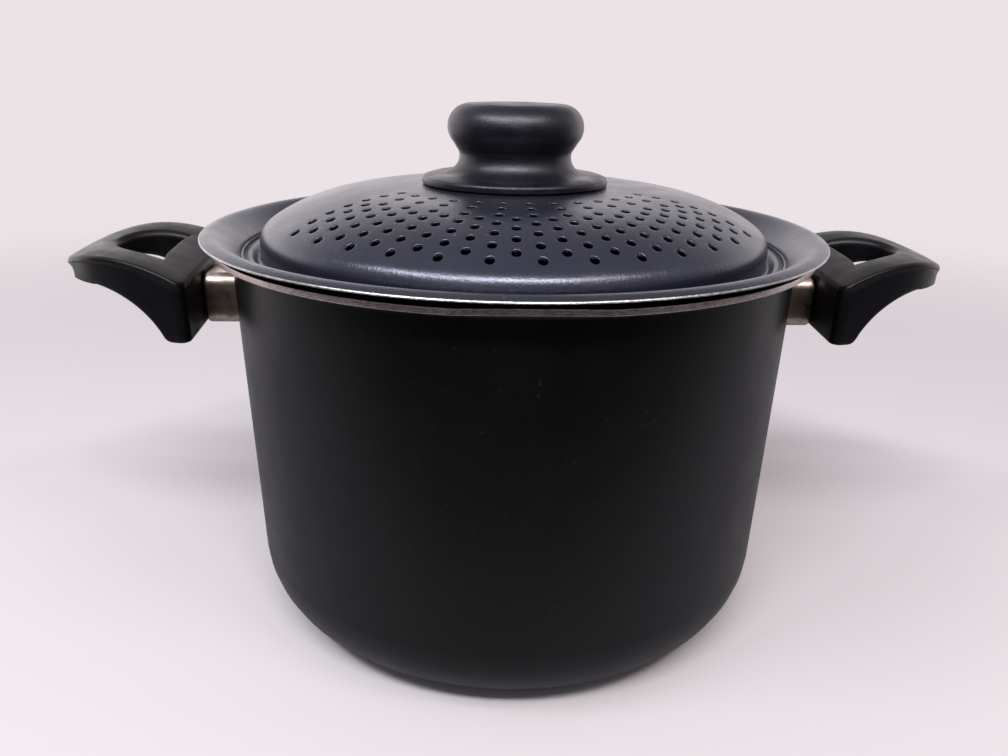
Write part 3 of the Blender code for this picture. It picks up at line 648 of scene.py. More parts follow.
def make_pot():
    """The pot as one turned sheet. Past the flare's centre a radius r becomes
    r0 + (r - r0) (e(a) - r0) / (R - r0), where e(a) is the rim's edge in direction a: the smaller of R and
    the pouring flat's distance over the cosine."""
    rim_under = POT_HEIGHT - POT_SHEET
    corners = [(0.0, POT_FLOOR, 0),
               (wall_radius(POT_FLOOR) - POT_SHEET, POT_FLOOR, CORNER_RADIUS - POT_SHEET),
               (wall_radius(POT_HEIGHT) - POT_SHEET, POT_HEIGHT, FLARE_RADIUS + POT_SHEET),
               (RIM_RADIUS, POT_HEIGHT, SMALL_ROUND),
               (RIM_RADIUS, rim_under, SMALL_ROUND),
               (wall_radius(rim_under), rim_under, FLARE_RADIUS),
               (wall_radius(0.0), 0.0, CORNER_RADIUS),
               (BASE_RECESS_RADIUS, 0.0, SOFT_ROUND),
               (BASE_RECESS_RADIUS - BASE_RECESS, BASE_RECESS, SOFT_ROUND),
               (0.0, BASE_RECESS, 0)]
    profile = filleted(corners, steps=9, hold=0.6)
    flat_end = np.arcsin(POUR_FLAT_WIDTH / 2 / RIM_RADIUS)
    away = np.sort(np.append(circle(POT_COLUMNS, -pi), [-flat_end, flat_end]))
    points = turned_points(profile, FRONT + away)
    in_front = np.abs(away) < pi / 3
    edge = np.where(in_front, np.minimum(RIM_RADIUS * cos(flat_end) / np.cos(away), RIM_RADIUS), RIM_RADIUS)
    start = FLARE_CENTRE[0]
    r = profile[:, 0, None]
    pulled = start + (r - start) * (edge - start) / (RIM_RADIUS - start)
    share = np.where(r > start, pulled / np.maximum(r, 1.0), 1.0)
    points[..., :2] *= share[..., None]
    bare = np.clip((profile[:, 0] - RIM_RADIUS + BARE_EDGE) / BARE_FADE, 0, 1)
    make_piece("pot_shell", points.reshape(-1, 3), grid_faces(len(profile), len(away)), POT_COATING,
               "pot", "pot_body", values=np.repeat(bare, len(away)))


# Strainer lid

def dome_height(r):
    """The dome's top surface: its top less rise (1 - (1 - share^flatness)^(1 / shoulder))."""
    share = np.minimum(r / DOME_RADIUS, 1.0)
    return DOME_TOP - DOME_RISE * (1 - (1 - share ** DOME_FLATNESS) ** (1 / DOME_SHOULDER))


def dome_radius_at(run):
    """Radius of the dome's point at a length inwards along its surface, from the outermost ring of holes."""
    r = DOME_RADIUS - np.linspace(0.0, 0.7 * DOME_RADIUS, 4000)
    steps = np.hypot(np.diff(r), np.diff(dome_height(r)))
    length = np.append(0.0, np.cumsum(steps))
    zero = np.interp(OUTER_RING_IN, DOME_RADIUS - r, length)
    return np.interp(run + zero, length, r)


def dome_edge():
    """The arc that leaves the dome's curve at its slope and ends upright: its centre, and the angle and
    radius at which it leaves, which a few rounds settle."""
    radius = DOME_RADIUS - DOME_EDGE_ROUND / 2
    for _ in range(12):
        slope = (dome_height(radius - GAP) - dome_height(radius)) / GAP
        angle = pi / 2 - atan(slope)
        radius = DOME_RADIUS - DOME_EDGE_ROUND * (1 - cos(angle))
    centre = (DOME_RADIUS - DOME_EDGE_ROUND, dome_height(radius) - DOME_EDGE_ROUND * sin(angle))
    return centre, angle, radius


def channel_line():
    """The channel from the dome's foot to the outer wall. Its raised bead is the bottom plus rise times
    (1 - |2 d / span|^fullness)^2, d being the distance from the bead's middle."""
    bead = CHANNEL_OUTER - BEAD_IN
    inner = filleted([(DOME_RADIUS, CHANNEL_BOTTOM + CHANNEL_START_UP, 0),
                      (DOME_RADIUS, CHANNEL_BOTTOM, CHANNEL_INNER_ROUND),
                      (bead - BEAD_SPAN / 2 + SOFT_ROUND, CHANNEL_BOTTOM, 0)], steps=5, hold=0.3)
    d = np.linspace(-0.5, 0.5, 21) * BEAD_SPAN
    lift = (1 - np.abs(2 * d / BEAD_SPAN) ** BEAD_FULLNESS) ** 2
    ridge = np.stack([bead + d, CHANNEL_BOTTOM + BEAD_RISE * lift], axis=1)
    ridge = ridge[ridge[:, 0] < CHANNEL_OUTER - CHANNEL_OUTER_ROUND / 2]
    outer = filleted([(*ridge[-1], 0),
                      (CHANNEL_OUTER, CHANNEL_BOTTOM, CHANNEL_OUTER_ROUND),
                      (CHANNEL_OUTER, CHANNEL_BOTTOM + CHANNEL_END_UP, 0)], steps=6, hold=0.3)
    return np.concatenate([inner[:-1], ridge[1:-1], outer[:-1]])


def lid_rim_curve():
    """The lid's top surface from the dome's shoulder out: rounded edge, channel with its bead, seat on the
    pot's flare and arched flange, whose two halves are powers of the distance from its crest."""
    centre, angle, _ = dome_edge()
    reach = FLARE_RADIUS + POT_SHEET + GAP + LID_SHEET
    seat = (FLARE_CENTRE[0] - reach * sin(SEAT_SLOPE), FLARE_CENTRE[1] + reach * cos(SEAT_SLOPE))
    rise = FLANGE_CREST_OUT * tan(SEAT_SLOPE) * FLANGE_STEEPNESS
    crest_radius = LID_RADIUS - FLANGE_CREST_IN
    crest = seat[1] + rise
    edge = arc(centre, DOME_EDGE_ROUND, angle, 0.0, 12)
    bend = filleted([(CHANNEL_OUTER, CHANNEL_BOTTOM + CHANNEL_END_UP, 0),
                     (CHANNEL_OUTER, seat[1] - SEAT_BEND_BELOW, SEAT_BEND),
                     (*seat, 0)], steps=6, hold=0.3)
    t = np.linspace(1.0, 0.0, 9)[1:]
    inner = np.stack([crest_radius - FLANGE_CREST_OUT * t, crest - rise * t ** 1.5], axis=1)
    t = np.array([0.2, 0.4, 0.6, 0.8, 0.9, 1.0])
    outer = np.stack([crest_radius + FLANGE_CREST_IN * t, crest - FLANGE_RISE * t ** 2], axis=1)
    return np.concatenate([edge, channel_line(), bend, inner, outer])


def offset_line(line, distance):
    """A line moved sideways to the right of its direction, square to the mean of its two neighbours."""
    way = np.gradient(line, axis=0)
    way /= np.linalg.norm(way, axis=1)[:, None]
    return line + distance * np.stack([way[:, 1], -way[:, 0]], axis=1)


def lid_section(dome):
    """The sheet's closed section over the dome's radii and the rim, with its cut edge rounded, and the
    number of its rows on top."""
    top = np.concatenate([np.stack([dome, dome_height(dome)], axis=1), lid_rim_curve()])
    under = offset_line(top, LID_SHEET)
    upper = top[-1] + [-LID_CUT_ROUND, LID_CUT_RISE]
    lower = under[-1] + [-LID_CUT_ROUND, LID_CUT_RISE]
    top[-1] = [LID_RADIUS, upper[1] - LID_CUT_ROUND]
    under[-1] = [LID_RADIUS, lower[1] + LID_CUT_ROUND]
    section = np.concatenate([top[:-1], [upper], top[-1:], under[-1:], [lower], under[-2::-1]])
    return section, len(top)


def hole_patches(centres, upper, lower):
    """Rings of points that fill the cells round the holes, as an array holes x rings x points x 3, and how
    bare each ring is. centres holds (radius, angle) of each hole, and upper and lower its cell's border on
    the two skins, whose directions from the hole's middle are taken halfway to even ones. The rings go in
    to the hole, over its rounded lip, down its wall and out again underneath."""
    middle_x = (centres[:, 0] * np.cos(centres[:, 1]))[:, None]
    middle_y = (centres[:, 0] * np.sin(centres[:, 1]))[:, None]
    bearing = np.unwrap(np.arctan2(upper[..., 1] - middle_y, upper[..., 0] - middle_x), axis=1)
    count = bearing.shape[1]
    way = np.sign(bearing[:, -1:] - bearing[:, :1])
    even = bearing.mean(axis=1, keepdims=True) + way * 2 * pi * (np.arange(count) - (count - 1) / 2) / count
    bearing = 0.5 * (bearing + even)

    def ring(radius, drop, top=True):
        """A ring at a radius from the hole's middle, drop below the top skin or above the lower one."""
        x = middle_x + radius * np.cos(bearing)
        y = middle_y + radius * np.sin(bearing)
        r = np.hypot(x, y)
        slope = (dome_height(r + 0.01) - dome_height(r - 0.01)) / 0.02
        thick = LID_SHEET * np.sqrt(1 + slope ** 2)
        return np.stack([x, y, dome_height(r) - drop if top else dome_height(r) - thick + drop], axis=-1)

    lip = [ring(HOLE_RADIUS + HOLE_LIP * (1 - sin(a)), HOLE_LIP * (1 - cos(a)))
           for a in np.radians([0, 30, 60, 90])]
    halfway = 0.5 * (lip[0] + upper)
    halfway[..., 2] = dome_height(np.hypot(halfway[..., 0], halfway[..., 1]))
    below = [ring(HOLE_RADIUS, HOLE_UNDER_ROUND, False), ring(HOLE_RADIUS + HOLE_UNDER_ROUND, 0.0, False),
             0.5 * (ring(HOLE_RADIUS + HOLE_LIP, 0.0, False) + lower)]
    return np.stack([halfway, *lip, *below], axis=1), np.array([0, 0, 0, 0.1, 0.3, 0.42, 0.3, 0])


def make_lid():
    """The lid as a closed grid whose rows follow the sheet's section and whose columns go round. Each hole
    takes a cell of half a step by two ring pitches out of the grid, on both skins, and a round patch fills
    the cell."""
    rings = CLOSE_RINGS + 2 * WIDE_RINGS
    runs = RING_PITCH * (np.arange((rings + 1) * ROWS_PER_RING + 1) / ROWS_PER_RING - 1)
    fan = dome_radius_at(runs)[::-1]
    middle = np.linspace(KNOB_SCREW_RADIUS + GAP, fan[0], 8)[:-1]
    shoulder = np.linspace(fan[-1], dome_edge()[2], 6)[1:-1]
    section, edge = lid_section(np.concatenate([middle, fan, shoulder]))
    points = turned_points(section, circle(LID_COLUMNS, FRONT))
    quads = grid_quads(len(section), LID_COLUMNS, close_rows=True)
    keep = np.ones(quads.shape[:2], bool)
    bare = np.zeros(points.shape[:2])
    bare[edge - 1:edge + 3] = 1.0

    half = COLUMNS_PER_STEP // 4
    tall = 2 * ROWS_PER_RING
    up = np.concatenate([np.full(2 * half, 0), np.arange(tall),
                         np.full(2 * half, tall), np.arange(tall, 0, -1)])
    across = np.concatenate([np.arange(-half, half), np.full(tall, half),
                             np.arange(half, -half, -1), np.full(tall, -half)])
    last = len(section) - 1
    borders = []
    centres = []
    for ring in [*range(CLOSE_RINGS), *range(CLOSE_RINGS + 1, rings, 2)]:
        low = len(middle) + len(fan) - 1 - (ring + 2) * ROWS_PER_RING
        for step in range(-FAN_REACH + ring % 2, FAN_REACH + 1, 2):
            column = step * COLUMNS_PER_STEP // 2
            on_column = (column + across) % LID_COLUMNS
            borders.append([row * LID_COLUMNS + on_column for row in (low + up, last - low - up)])
            centres.append((dome_radius_at(RING_PITCH * ring), FRONT + step * HOLE_STEP / 2))
            cells = (column + np.arange(-half, half)) % LID_COLUMNS
            keep[low:low + tall, cells] = False
            keep[last - low - tall:last - low, cells] = False

    flat = points.reshape(-1, 3)
    upper, lower = np.array(borders).swapaxes(0, 1)
    patch, ring_bare = hole_patches(np.array(centres), flat[upper], flat[lower])
    number = len(flat) + np.arange(patch[..., 0].size).reshape(patch.shape[:3])
    chain = np.concatenate([upper[:, None], number, lower[:, None]], axis=1)
    here = chain[:, :-1]
    beyond = chain[:, 1:]
    patch_quads = np.stack([here, np.roll(here, -1, axis=2), np.roll(beyond, -1, axis=2), beyond], axis=-1)
    patch_bare = np.broadcast_to(ring_bare[:, None], patch.shape[:3])

    turn = np.array(Matrix.Rotation(LID_TURN, 3, "Z"))
    make_piece("lid_sheet", np.concatenate([flat, patch.reshape(-1, 3)]) @ turn.T,
               quads[keep].tolist() + patch_quads.reshape(-1, 4).tolist(), LID_COATING,
               "lid", "strainer_lid", LID_SHARP,
               np.concatenate([bare.ravel(), patch_bare.ravel()]))


# Knob

def make_knob():
    """Domed top, round head, waist and thin skirt, hollow below: arcs joined by their common slopes. The
    skirt's thickness falls from its foot to its edge by a power of the share of its width."""
    head = (KNOB_HEAD_RADIUS - KNOB_HEAD_ROUND, KNOB_TOP - KNOB_CROWN - KNOB_HEAD_ROUND)
    waist = (KNOB_WAIST_RADIUS + KNOB_WAIST_ROUND, KNOB_BASE + KNOB_WAIST_UP)
    flare = (KNOB_WAIST_RADIUS + KNOB_FOOT_ROUND, waist[1])
    foot = KNOB_SKIRT_RADIUS - KNOB_SKIRT_WIDTH
    share = np.linspace(0, 1, 8)[:-1]
    crown = np.stack([head[0] * share, KNOB_TOP - KNOB_CROWN * share ** 2], axis=1)
    fall = np.linspace(0, 0.985, 12)[:-1]
    height = KNOB_SKIRT_THICKNESS - (KNOB_SKIRT_THICKNESS - KNOB_SKIRT_EDGE) * fall ** KNOB_SKIRT_FALL
    skirt = np.stack([foot + KNOB_SKIRT_WIDTH * fall, KNOB_BASE + height], axis=1)
    core = KNOB_BASE + KNOB_CORE_DEPTH
    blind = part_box("knob_insert")[1].z / MM + GAP
    under = filleted([(*skirt[-1], 0),
                      (KNOB_SKIRT_RADIUS, KNOB_BASE + KNOB_SKIRT_EDGE, KNOB_SKIRT_ROUND),
                      (KNOB_SKIRT_RADIUS, KNOB_BASE, KNOB_SKIRT_UNDER_ROUND),
                      (KNOB_CORE_RADIUS, KNOB_BASE, SMALL_ROUND),
                      (KNOB_CORE_RADIUS, core, SOFT_ROUND),
                      (KNOB_CORE_BOSS, core, SOFT_ROUND),
                      (KNOB_CORE_BOSS, KNOB_BASE, SMALL_ROUND),
                      (KNOB_BORE, KNOB_BASE, FINE_ROUND),
                      (KNOB_BORE, blind, 0),
                      (0.0, blind, 0)], steps=4, hold=0.2)
    profile = np.concatenate([crown, arc(head, KNOB_HEAD_ROUND, pi / 2, -KNOB_NECK_SLOPE, 26),
                              arc(waist, KNOB_WAIST_ROUND, pi - KNOB_NECK_SLOPE, pi, 10),
                              arc(flare, KNOB_FOOT_ROUND, pi, pi + KNOB_FOOT_SLOPE, 14)[1:],
                              skirt[:-1], under])
    turned_piece("knob_moulding", profile, KNOB_SIDES, KNOB_PHENOLIC, "lid", "lid_knob")


# Screws and washers

def screw_profile(shaft, length, head, tall):
    """A pan head below the seat at height 0, with a round recess for the driver, and a plain shaft of a
    length above it. The head's slope and its recess are shares of its radius and height."""
    return filleted([(0.0, length, 0), (shaft - 0.6, length, 0), (shaft, length - 0.6, FINE_ROUND),
                     (shaft, 0.0, FINE_ROUND), (head, 0.0, 0.25), (head, -0.45 * tall, 0.6),
                     (0.75 * head, -0.93 * tall, 1.2), (0.3 * head, -tall, FINE_ROUND),
                     (0.3 * head, -0.4 * tall, FINE_ROUND), (0.0, -0.4 * tall, 0)], steps=5, hold=0.2)


def washer_profile(bore, radius, low, high, edge):
    """A washer's section as a closed line; edge is the rounding of its two outer edges."""
    line = filleted([(radius, low, 0), (radius, high, edge), (bore, high, FINE_ROUND),
                     (bore, low, FINE_ROUND), (radius, low, edge), (radius, high, 0)], steps=4, hold=0.2)
    return line[1:-1]


def fixing_place(way, out, turn):
    """A place on a handle's screw axis, at a distance out. Its upright axis is brought along X by a quarter
    turn, forwards or backwards."""
    return Matrix.Translation((way * out, 0.0, FIXING_HEIGHT)) @ Matrix.Rotation(turn * pi / 2, 4, "Y")


def make_knob_fixing():
    low, high = (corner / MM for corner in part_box("knob_washer"))
    ring = washer_profile(KNOB_SCREW_RADIUS + GAP, high.x, low.z, high.z, 0.3)
    turned_piece("knob_washer_ring", ring, SMALL_SIDES, STEEL, "lid", "knob_washer")
    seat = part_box("knob_washer")[0].z / MM - GAP
    low, high = (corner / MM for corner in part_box("knob_screw"))
    screw = screw_profile(KNOB_SCREW_RADIUS, high.z - seat, high.x, seat - low.z)
    turned_piece("knob_screw_turned", screw, SMALL_SIDES, STEEL, "lid", "knob_screw",
                 Matrix.Translation((0.0, 0.0, seat)))
    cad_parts["knob_insert"].data.materials[0] = BRASS


def make_handle_fixing(side, way):
    low, high = (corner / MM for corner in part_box("washer_" + side))
    near, far = sorted((abs(low.x), abs(high.x)))
    ring = washer_profile(SCREW_BORE, (high.z - low.z) / 2, 0.0, far - near, 0.25)
    turned_piece("washer_ring_" + side, ring, SMALL_SIDES, STEEL, "pot", "washer_" + side,
                 fixing_place(way, near, way))
    low, high = (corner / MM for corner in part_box("screw_" + side))
    tip, top = sorted((abs(low.x), abs(high.x)))
    seat = far + GAP
    screw = screw_profile(HANDLE_SCREW_RADIUS, seat - tip, (high.z - low.z) / 2, top - seat)
    turned_piece("screw_turned_" + side, screw, SMALL_SIDES, STEEL, "pot", "screw_" + side,
                 fixing_place(way, seat, -way))
    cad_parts["stud_" + side].data.materials[0] = STEEL


# Brackets

def make_bracket(side, way):
    """A sleeve: a rounded rectangle carried out along X, from the leaning wall, where
    x = sqrt(R(z)^2 - y^2), to a closed end whose edge is folded over an arc and which has a hole for the
    screw. The same rectangle, shrunk by the sheet, goes back inside."""
    half_size = np.array([BRACKET_WIDTH, BRACKET_HEIGHT]) / 2
    corner = half_size - BRACKET_CORNER
    arcs = [arc(corner * signs, BRACKET_CORNER, k * pi / 2, (k + 1) * pi / 2, 9)
            for k, signs in enumerate(((1, 1), (-1, 1), (-1, -1), (1, -1)))]
    outline = []
    for here, ahead in zip(arcs, arcs[1:] + arcs[:1]):
        outline += [here, here[-1] + (ahead[0] - here[-1]) * np.linspace(0, 1, 7)[1:-1, None]]
    outline = np.concatenate(outline)
    bearing = np.arctan2(outline[:, 1], outline[:, 0])
    hole = SCREW_BORE * np.stack([np.cos(bearing), np.sin(bearing)], axis=1)
    inside = outline * (1 - BRACKET_SHEET / half_size)
    start = np.sqrt((wall_radius(FIXING_HEIGHT + outline[:, 1]) + GAP) ** 2 - outline[:, 0] ** 2)
    fold = BRACKET_REACH - BRACKET_FOLD
    end_inside = BRACKET_REACH - BRACKET_SHEET

    rows = [(start + (fold - start) * share, outline) for share in np.linspace(0, 1, 7)]
    rows += [(fold + BRACKET_FOLD * sin(a), outline * (1 - BRACKET_FOLD * (1 - cos(a)) / half_size))
             for a in np.linspace(0, pi / 2, 6)[1:]]
    rows += [(BRACKET_REACH, outline * share) for share in (0.6, 0.28)]
    rows += [(BRACKET_REACH, hole), (end_inside, hole)]
    rows += [(start + (end_inside - start) * share, inside) for share in (0.97, 0.0)]
    points = np.array([np.column_stack([np.broadcast_to(x, len(outline)), shape]) for x, shape in rows])
    points[..., 0] *= way
    points[..., 2] += FIXING_HEIGHT
    make_piece("bracket_sleeve_" + side, points.reshape(-1, 3),
               grid_faces(len(rows), len(outline), close_rows=True), BRACKET_STEEL, "pot",
               "bracket_" + side)


# Handles

def handle_top(x):
    """Height of the arched top over x, the distance from the face: two parabolas that meet at the crest."""
    near = CREST_ABOVE - (CREST_ABOVE - BLOCK_ABOVE) * ((CREST_OUT - x) / CREST_OUT) ** 2
    past = (x - CREST_OUT) / (HANDLE_LENGTH - CREST_OUT)
    return np.where(x < CREST_OUT, near, CREST_ABOVE - (CREST_ABOVE - TIP_ABOVE) * past ** 2)


def handle_under_line():
    """The underside from the face out: flat block, rounded corner, an arc up to its highest point, and a
    straight line down to the tip."""
    end = HANDLE_LENGTH - UNDERSIDE_END_IN
    highest = CREST_ABOVE - LOOP_THICKNESS
    a = np.linspace(UNDERSIDE_START, pi / 2, 24)
    along = np.cos(a) / cos(UNDERSIDE_START)
    up = (np.sin(a) - sin(UNDERSIDE_START)) / (1 - sin(UNDERSIDE_START))
    arch = np.stack([end - (end - BLOCK_LENGTH) * along, (highest + BLOCK_BELOW) * up - BLOCK_BELOW], axis=1)
    start = arch[np.searchsorted(arch[:, 0], BLOCK_LENGTH + BLOCK_BLEND)]
    block = filleted([(0.0, -BLOCK_BELOW, 0),
                      (BLOCK_LENGTH, -BLOCK_BELOW, BLOCK_UNDER_ROUND),
                      (*start, 0)], steps=7, hold=0.3)
    t = np.linspace(0, 1, 8)[1:]
    drop = highest - (TIP_ABOVE - TIP_THICKNESS)
    tail = np.stack([end + (UNDERSIDE_END_IN - TIP_UNDERCUT) * t, highest - drop * t], axis=1)
    return np.concatenate([block, arch[arch[:, 0] > start[0]], tail])


def handle_plan_line(length, fullness):
    """The handle from above as one closed line from the face round to the nose and back: its half width is
    W (1 - taper x) (1 - s^fullness)^round at a share s of this line's length, x being the share of the
    handle's length, and its corners at the face are rounded."""
    s = 1 - (1 - np.linspace(0, 1, 80)) ** NOSE_CROWDING
    taper = 1 - HANDLE_TAPER * s * length / HANDLE_LENGTH
    side = np.stack([length * s, HANDLE_HALF_WIDTH * taper * (1 - s ** fullness) ** NOSE_ROUND], axis=1)
    turn = side[np.searchsorted(side[:, 0], BLOCK_CORNER + 1.0)]
    corner = filleted([(0.0, 0.0, 0), (0.0, HANDLE_HALF_WIDTH, BLOCK_CORNER), (*turn, 0)], steps=9, hold=0.3)
    line = np.concatenate([corner, side[side[:, 0] > turn[0]]])
    return np.concatenate([line, (line * [1, -1])[-2:0:-1]])


def finger_hole_line():
    """The D-shaped finger hole from above: half an ellipse towards the tip, and a base that bows towards
    the tip by (1 - t^2)."""
    a = np.linspace(-pi / 2, pi / 2, 60)
    t = np.linspace(1, -1, 16)[1:-1]
    out = np.concatenate([FINGER_HOLE_LENGTH * np.cos(a), FINGER_HOLE_BOW * (1 - t ** 2)])
    across = np.concatenate([np.sin(a), t])
    return np.stack([FINGER_HOLE_WALL + out, FINGER_HOLE_HALF_WIDTH * across], axis=1)


def reach_of(line, middle, angle):
    """A closed line's distance from a middle point on the X axis, in given directions."""
    away = np.hypot(line[:, 0] - middle, line[:, 1])
    bearing = np.arctan2(line[:, 1], line[:, 0] - middle)
    return np.interp(angle, bearing, away, period=2 * pi)


def spaced(line, count):
    """count points at equal steps along a closed line."""
    closed = np.concatenate([line, line[:1]])
    run = np.append(0.0, np.cumsum(np.hypot(*np.diff(closed, axis=0).T)))
    at = np.linspace(0, run[-1], count, endpoint=False)
    return np.stack([np.interp(at, run, closed[:, 0]), np.interp(at, run, closed[:, 1])], axis=1)


def handle_rows():
    """The handle as rows of points that go round its finger hole, as an array rows x points x 3. In each
    direction from the hole's middle a section runs from the hole's edge over the slightly crowned top, its
    rounded edge, the parting line, the wall, which leans in by a power of its depth, the lower edge, the
    underside, which rises towards the hole, and up the hole's wall. Heights follow x alone."""
    middle = FINGER_HOLE_WALL + FINGER_HOLE_MIDDLE
    rim = spaced(handle_plan_line(HANDLE_LENGTH, NOSE_FULLNESS), HANDLE_COLUMNS) - [middle, 0.0]
    angle = np.arctan2(rim[:, 1], rim[:, 0])
    far = np.hypot(rim[:, 0], rim[:, 1])
    near = reach_of(finger_hole_line(), middle, angle)
    low_line = handle_plan_line(HANDLE_LENGTH - TIP_UNDERCUT, UNDERSIDE_FULLNESS)
    low_far = np.minimum(reach_of(low_line, middle, angle), far)
    hollow = UNDERSIDE_HOLLOW * np.clip(2 * np.cos(angle) + 1, 0, 1)
    under_line = handle_under_line()
    low_edge_round = np.where(np.cos(angle) > 0.6, TIP_LOW_EDGE_ROUND, LOW_EDGE_ROUND)

    def on_top(distance, drop):
        x = middle + distance * np.cos(angle)
        return np.stack([x, distance * np.sin(angle), handle_top(x) - drop], axis=1)

    def on_underside(distance, up):
        x = middle + distance * np.cos(angle)
        low = np.interp(x, under_line[:, 0], under_line[:, 1])
        return np.stack([x, distance * np.sin(angle), low + up], axis=1)

    top_start = near + FINGER_HOLE_LIP
    top_end = far - TOP_EDGE_ROUND
    under_start = low_far - low_edge_round
    top = [on_top(top_start + (top_end - top_start) * share, -TOP_CROWN * sin(pi * share))
           for share in np.linspace(0, 1, 9)]
    top_edge = [on_top(far - TOP_EDGE_ROUND * (1 - sin(a)), TOP_EDGE_ROUND * (1 - cos(a)))
                for a in np.linspace(0, pi / 2, 7)[1:]]
    parting = [on_top(far + out, TOP_EDGE_ROUND + down)
               for out, down in zip((PARTING_RIDGE, PARTING_RIDGE, 0.0), PARTING_DEPTHS)]
    low_edge = [on_underside(low_far - low_edge_round * (1 - cos(a)), low_edge_round * (1 - sin(a)))
                for a in np.linspace(0, pi / 2, 6)]
    wall = [parting[-1] + (low_edge[0] - parting[-1]) * [share ** WALL_BULGE, share ** WALL_BULGE, share]
            for share in np.linspace(0, 1, 9)[1:-1]]
    under = [on_underside(under_start + (top_start - under_start) * share, hollow * share)
             for share in np.linspace(0, 1, 9)[1:]]
    low_lip = [on_underside(near + FINGER_HOLE_LIP * (1 - sin(a)), hollow + FINGER_HOLE_LIP * (1 - cos(a)))
               for a in np.linspace(0, pi / 2, 8)[1:]]
    top_lip = [on_top(near + FINGER_HOLE_LIP * (1 - sin(a)), FINGER_HOLE_LIP * (1 - cos(a)))
               for a in np.linspace(pi / 2, 0, 9)[:-1]]
    hole_wall = [low_lip[-1] + (top_lip[0] - low_lip[-1]) * share for share in (0.2, 0.4, 0.6, 0.8)]
    return np.array(top + top_edge + parting + wall + low_edge + under + low_lip + hole_wall + top_lip)


def make_handle(side, way):
    """The handle's rows of points, turned a little about the screw's axis and set against the bracket, with
    a pocket cut for the screw."""
    rows = handle_rows()
    rows[..., 0] += HANDLE_FACE
    points = rows.reshape(-1, 3) @ np.array(Matrix.Rotation(HANDLE_TURNS[side], 3, "X")).T
    points[:, 0] *= way
    points[:, 2] += FIXING_HEIGHT
    handle = make_piece("handle_moulding_" + side, points, grid_faces(*rows.shape[:2], close_rows=True),
                        HANDLE_PHENOLIC, "pot", "handle_" + side, HANDLE_SHARP)
    pocket_end = FINGER_HOLE_WALL + POCKET_PAST_WALL
    pocket = filleted([(0.0, POCKET_START, 0),
                       (SCREW_BORE, POCKET_START, 0),
                       (SCREW_BORE, SCREW_SEAT, FINE_ROUND),
                       (POCKET_RADIUS, SCREW_SEAT, 0.5),
                       (POCKET_RADIUS, pocket_end, 0),
                       (0.0, pocket_end, 0)], steps=4, hold=0.2)
    cut_away(handle, *turned_body(pocket, SMALL_SIDES, fixing_place(way, HANDLE_FACE, way)), HANDLE_SHARP)


def cut_away(piece, points, faces, sharp):
    """Takes a closed body out of a piece."""
    cutter = add_object("cutter", closed_mesh("cutter", points, faces))
    modifier = piece.modifiers.new("pocket", "BOOLEAN")
    modifier.object = cutter
    modifier.solver = "EXACT"
    done = bpy.data.meshes.new_from_object(piece.evaluated_get(bpy.context.evaluated_depsgraph_get()))
    piece.modifiers.clear()
    piece.data = done
    bpy.data.objects.remove(cutter)
    shade(done, sharp)


# Floor, lights and camera

def make_stage():
    """A round pale floor that fades into the pale surroundings. The object sees it greyer than the camera
    does, with painted shade that makes it darkest in front, because its black wall mirrors it."""
    rings = np.array([(radius, 0.0) for radius in FLOOR_RADII])
    points = turned_points(rings, circle(FLOOR_SIDES)).reshape(-1, 3)
    faces = grid_faces(len(rings), FLOOR_SIDES) + [list(range(FLOOR_SIDES))]
    mesh = bpy.data.meshes.new("floor")
    mesh.from_pydata((points * MM).tolist(), [], faces)
    mat, shader, n = new_material("pale_floor", PALE, 0.9, Specular_IOR_Level=0.1)
    camera = n.add("ShaderNodeLightPath").outputs["Is Camera Ray"]
    place = n.place()
    # Painted shade: what the object mirrors of the floor darkens towards the front
    mirrored_painted_shade = n.mix(n.span(n.split(place)["Y"], *FLOOR_PAINTED_SHADE_SPAN), *FLOOR_MIRRORED_PAINTED_SHADE)
    n.feed(shader, Base_Color=n.mix(camera, mirrored_painted_shade, FLOOR_SEEN),
           Alpha=n.span(n.length(place), *FLOOR_FADE, 1.0, 0.0))
    mesh.materials.append(mat)
    add_object("floor", mesh)


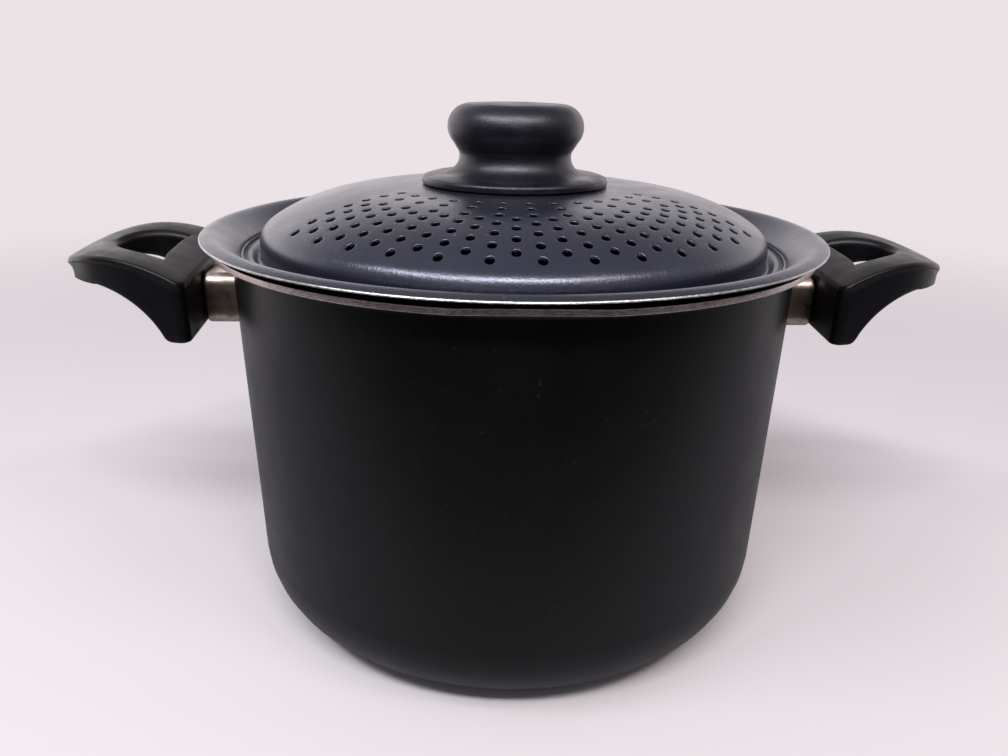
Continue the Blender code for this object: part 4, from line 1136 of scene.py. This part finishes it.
def make_lamp(name, place, size, power, color):
    """A soft rectangular lamp, turned to face the pot."""
    data = bpy.data.lights.new(name, "AREA")
    data.shape = "RECTANGLE"
    data.size = size[0] * MM
    data.size_y = size[1] * MM
    data.energy = power
    data.color = color
    lamp = add_object(name, data)
    lamp.location = Vector(place) * MM
    lamp.rotation_euler = (Vector(LAMP_AIM) - Vector(place)).to_track_quat("-Z", "Y").to_euler()


def make_lights():
    """Surroundings that are pale behind the object, greyer higher up and dim in front near the floor, and
    three soft lamps above and behind the camera. The camera sees the pale colour all round."""
    world = bpy.data.worlds.new("surroundings")
    world.use_nodes = True
    bpy.context.scene.world = world
    n = Nodes(world.node_tree)
    way = n.split(n.add("ShaderNodeTexCoord").outputs["Generated"])
    right = n.span(way["X"], -0.6, 0.6)
    high = n.span(way["Z"], 0.3, 0.62)
    behind = n.mix(high, n.mix(right, *ROOM_LOW), n.mix(right, *ROOM_HIGH))
    front = n.mix(n.span(way["Z"], 0.05, 0.4), *ROOM_FRONT)
    around = n.mix(n.span(way["Y"], 0.0, 0.5), front, behind)
    camera = n.add("ShaderNodeLightPath").outputs["Is Camera Ray"]
    n.feed(world.node_tree.nodes["Background"], Color=n.mix(camera, around, PALE))
    for lamp in LAMPS:
        make_lamp(*lamp)


def make_camera():
    data = bpy.data.cameras.new("camera")
    data.lens = CAMERA_LENS
    data.sensor_width = CAMERA_SENSOR
    camera = add_object("camera", data)
    turn = (Matrix.Rotation(CAMERA_HEADING, 4, "Z") @ Matrix.Rotation(CAMERA_PITCH, 4, "X")
            @ Matrix.Rotation(CAMERA_ROLL, 4, "Z"))
    camera.matrix_world = Matrix.Translation(Vector(CAMERA_PLACE) * MM) @ turn
    bpy.context.scene.camera = camera


make_pot()
make_lid()
make_knob()
make_knob_fixing()
for side, way in SIDES:
    make_handle_fixing(side, way)
for side, way in SIDES:
    make_bracket(side, way)
    make_handle(side, way)
make_stage()
make_lights()
make_camera()
bpy.context.scene.view_settings.view_transform = "Standard"
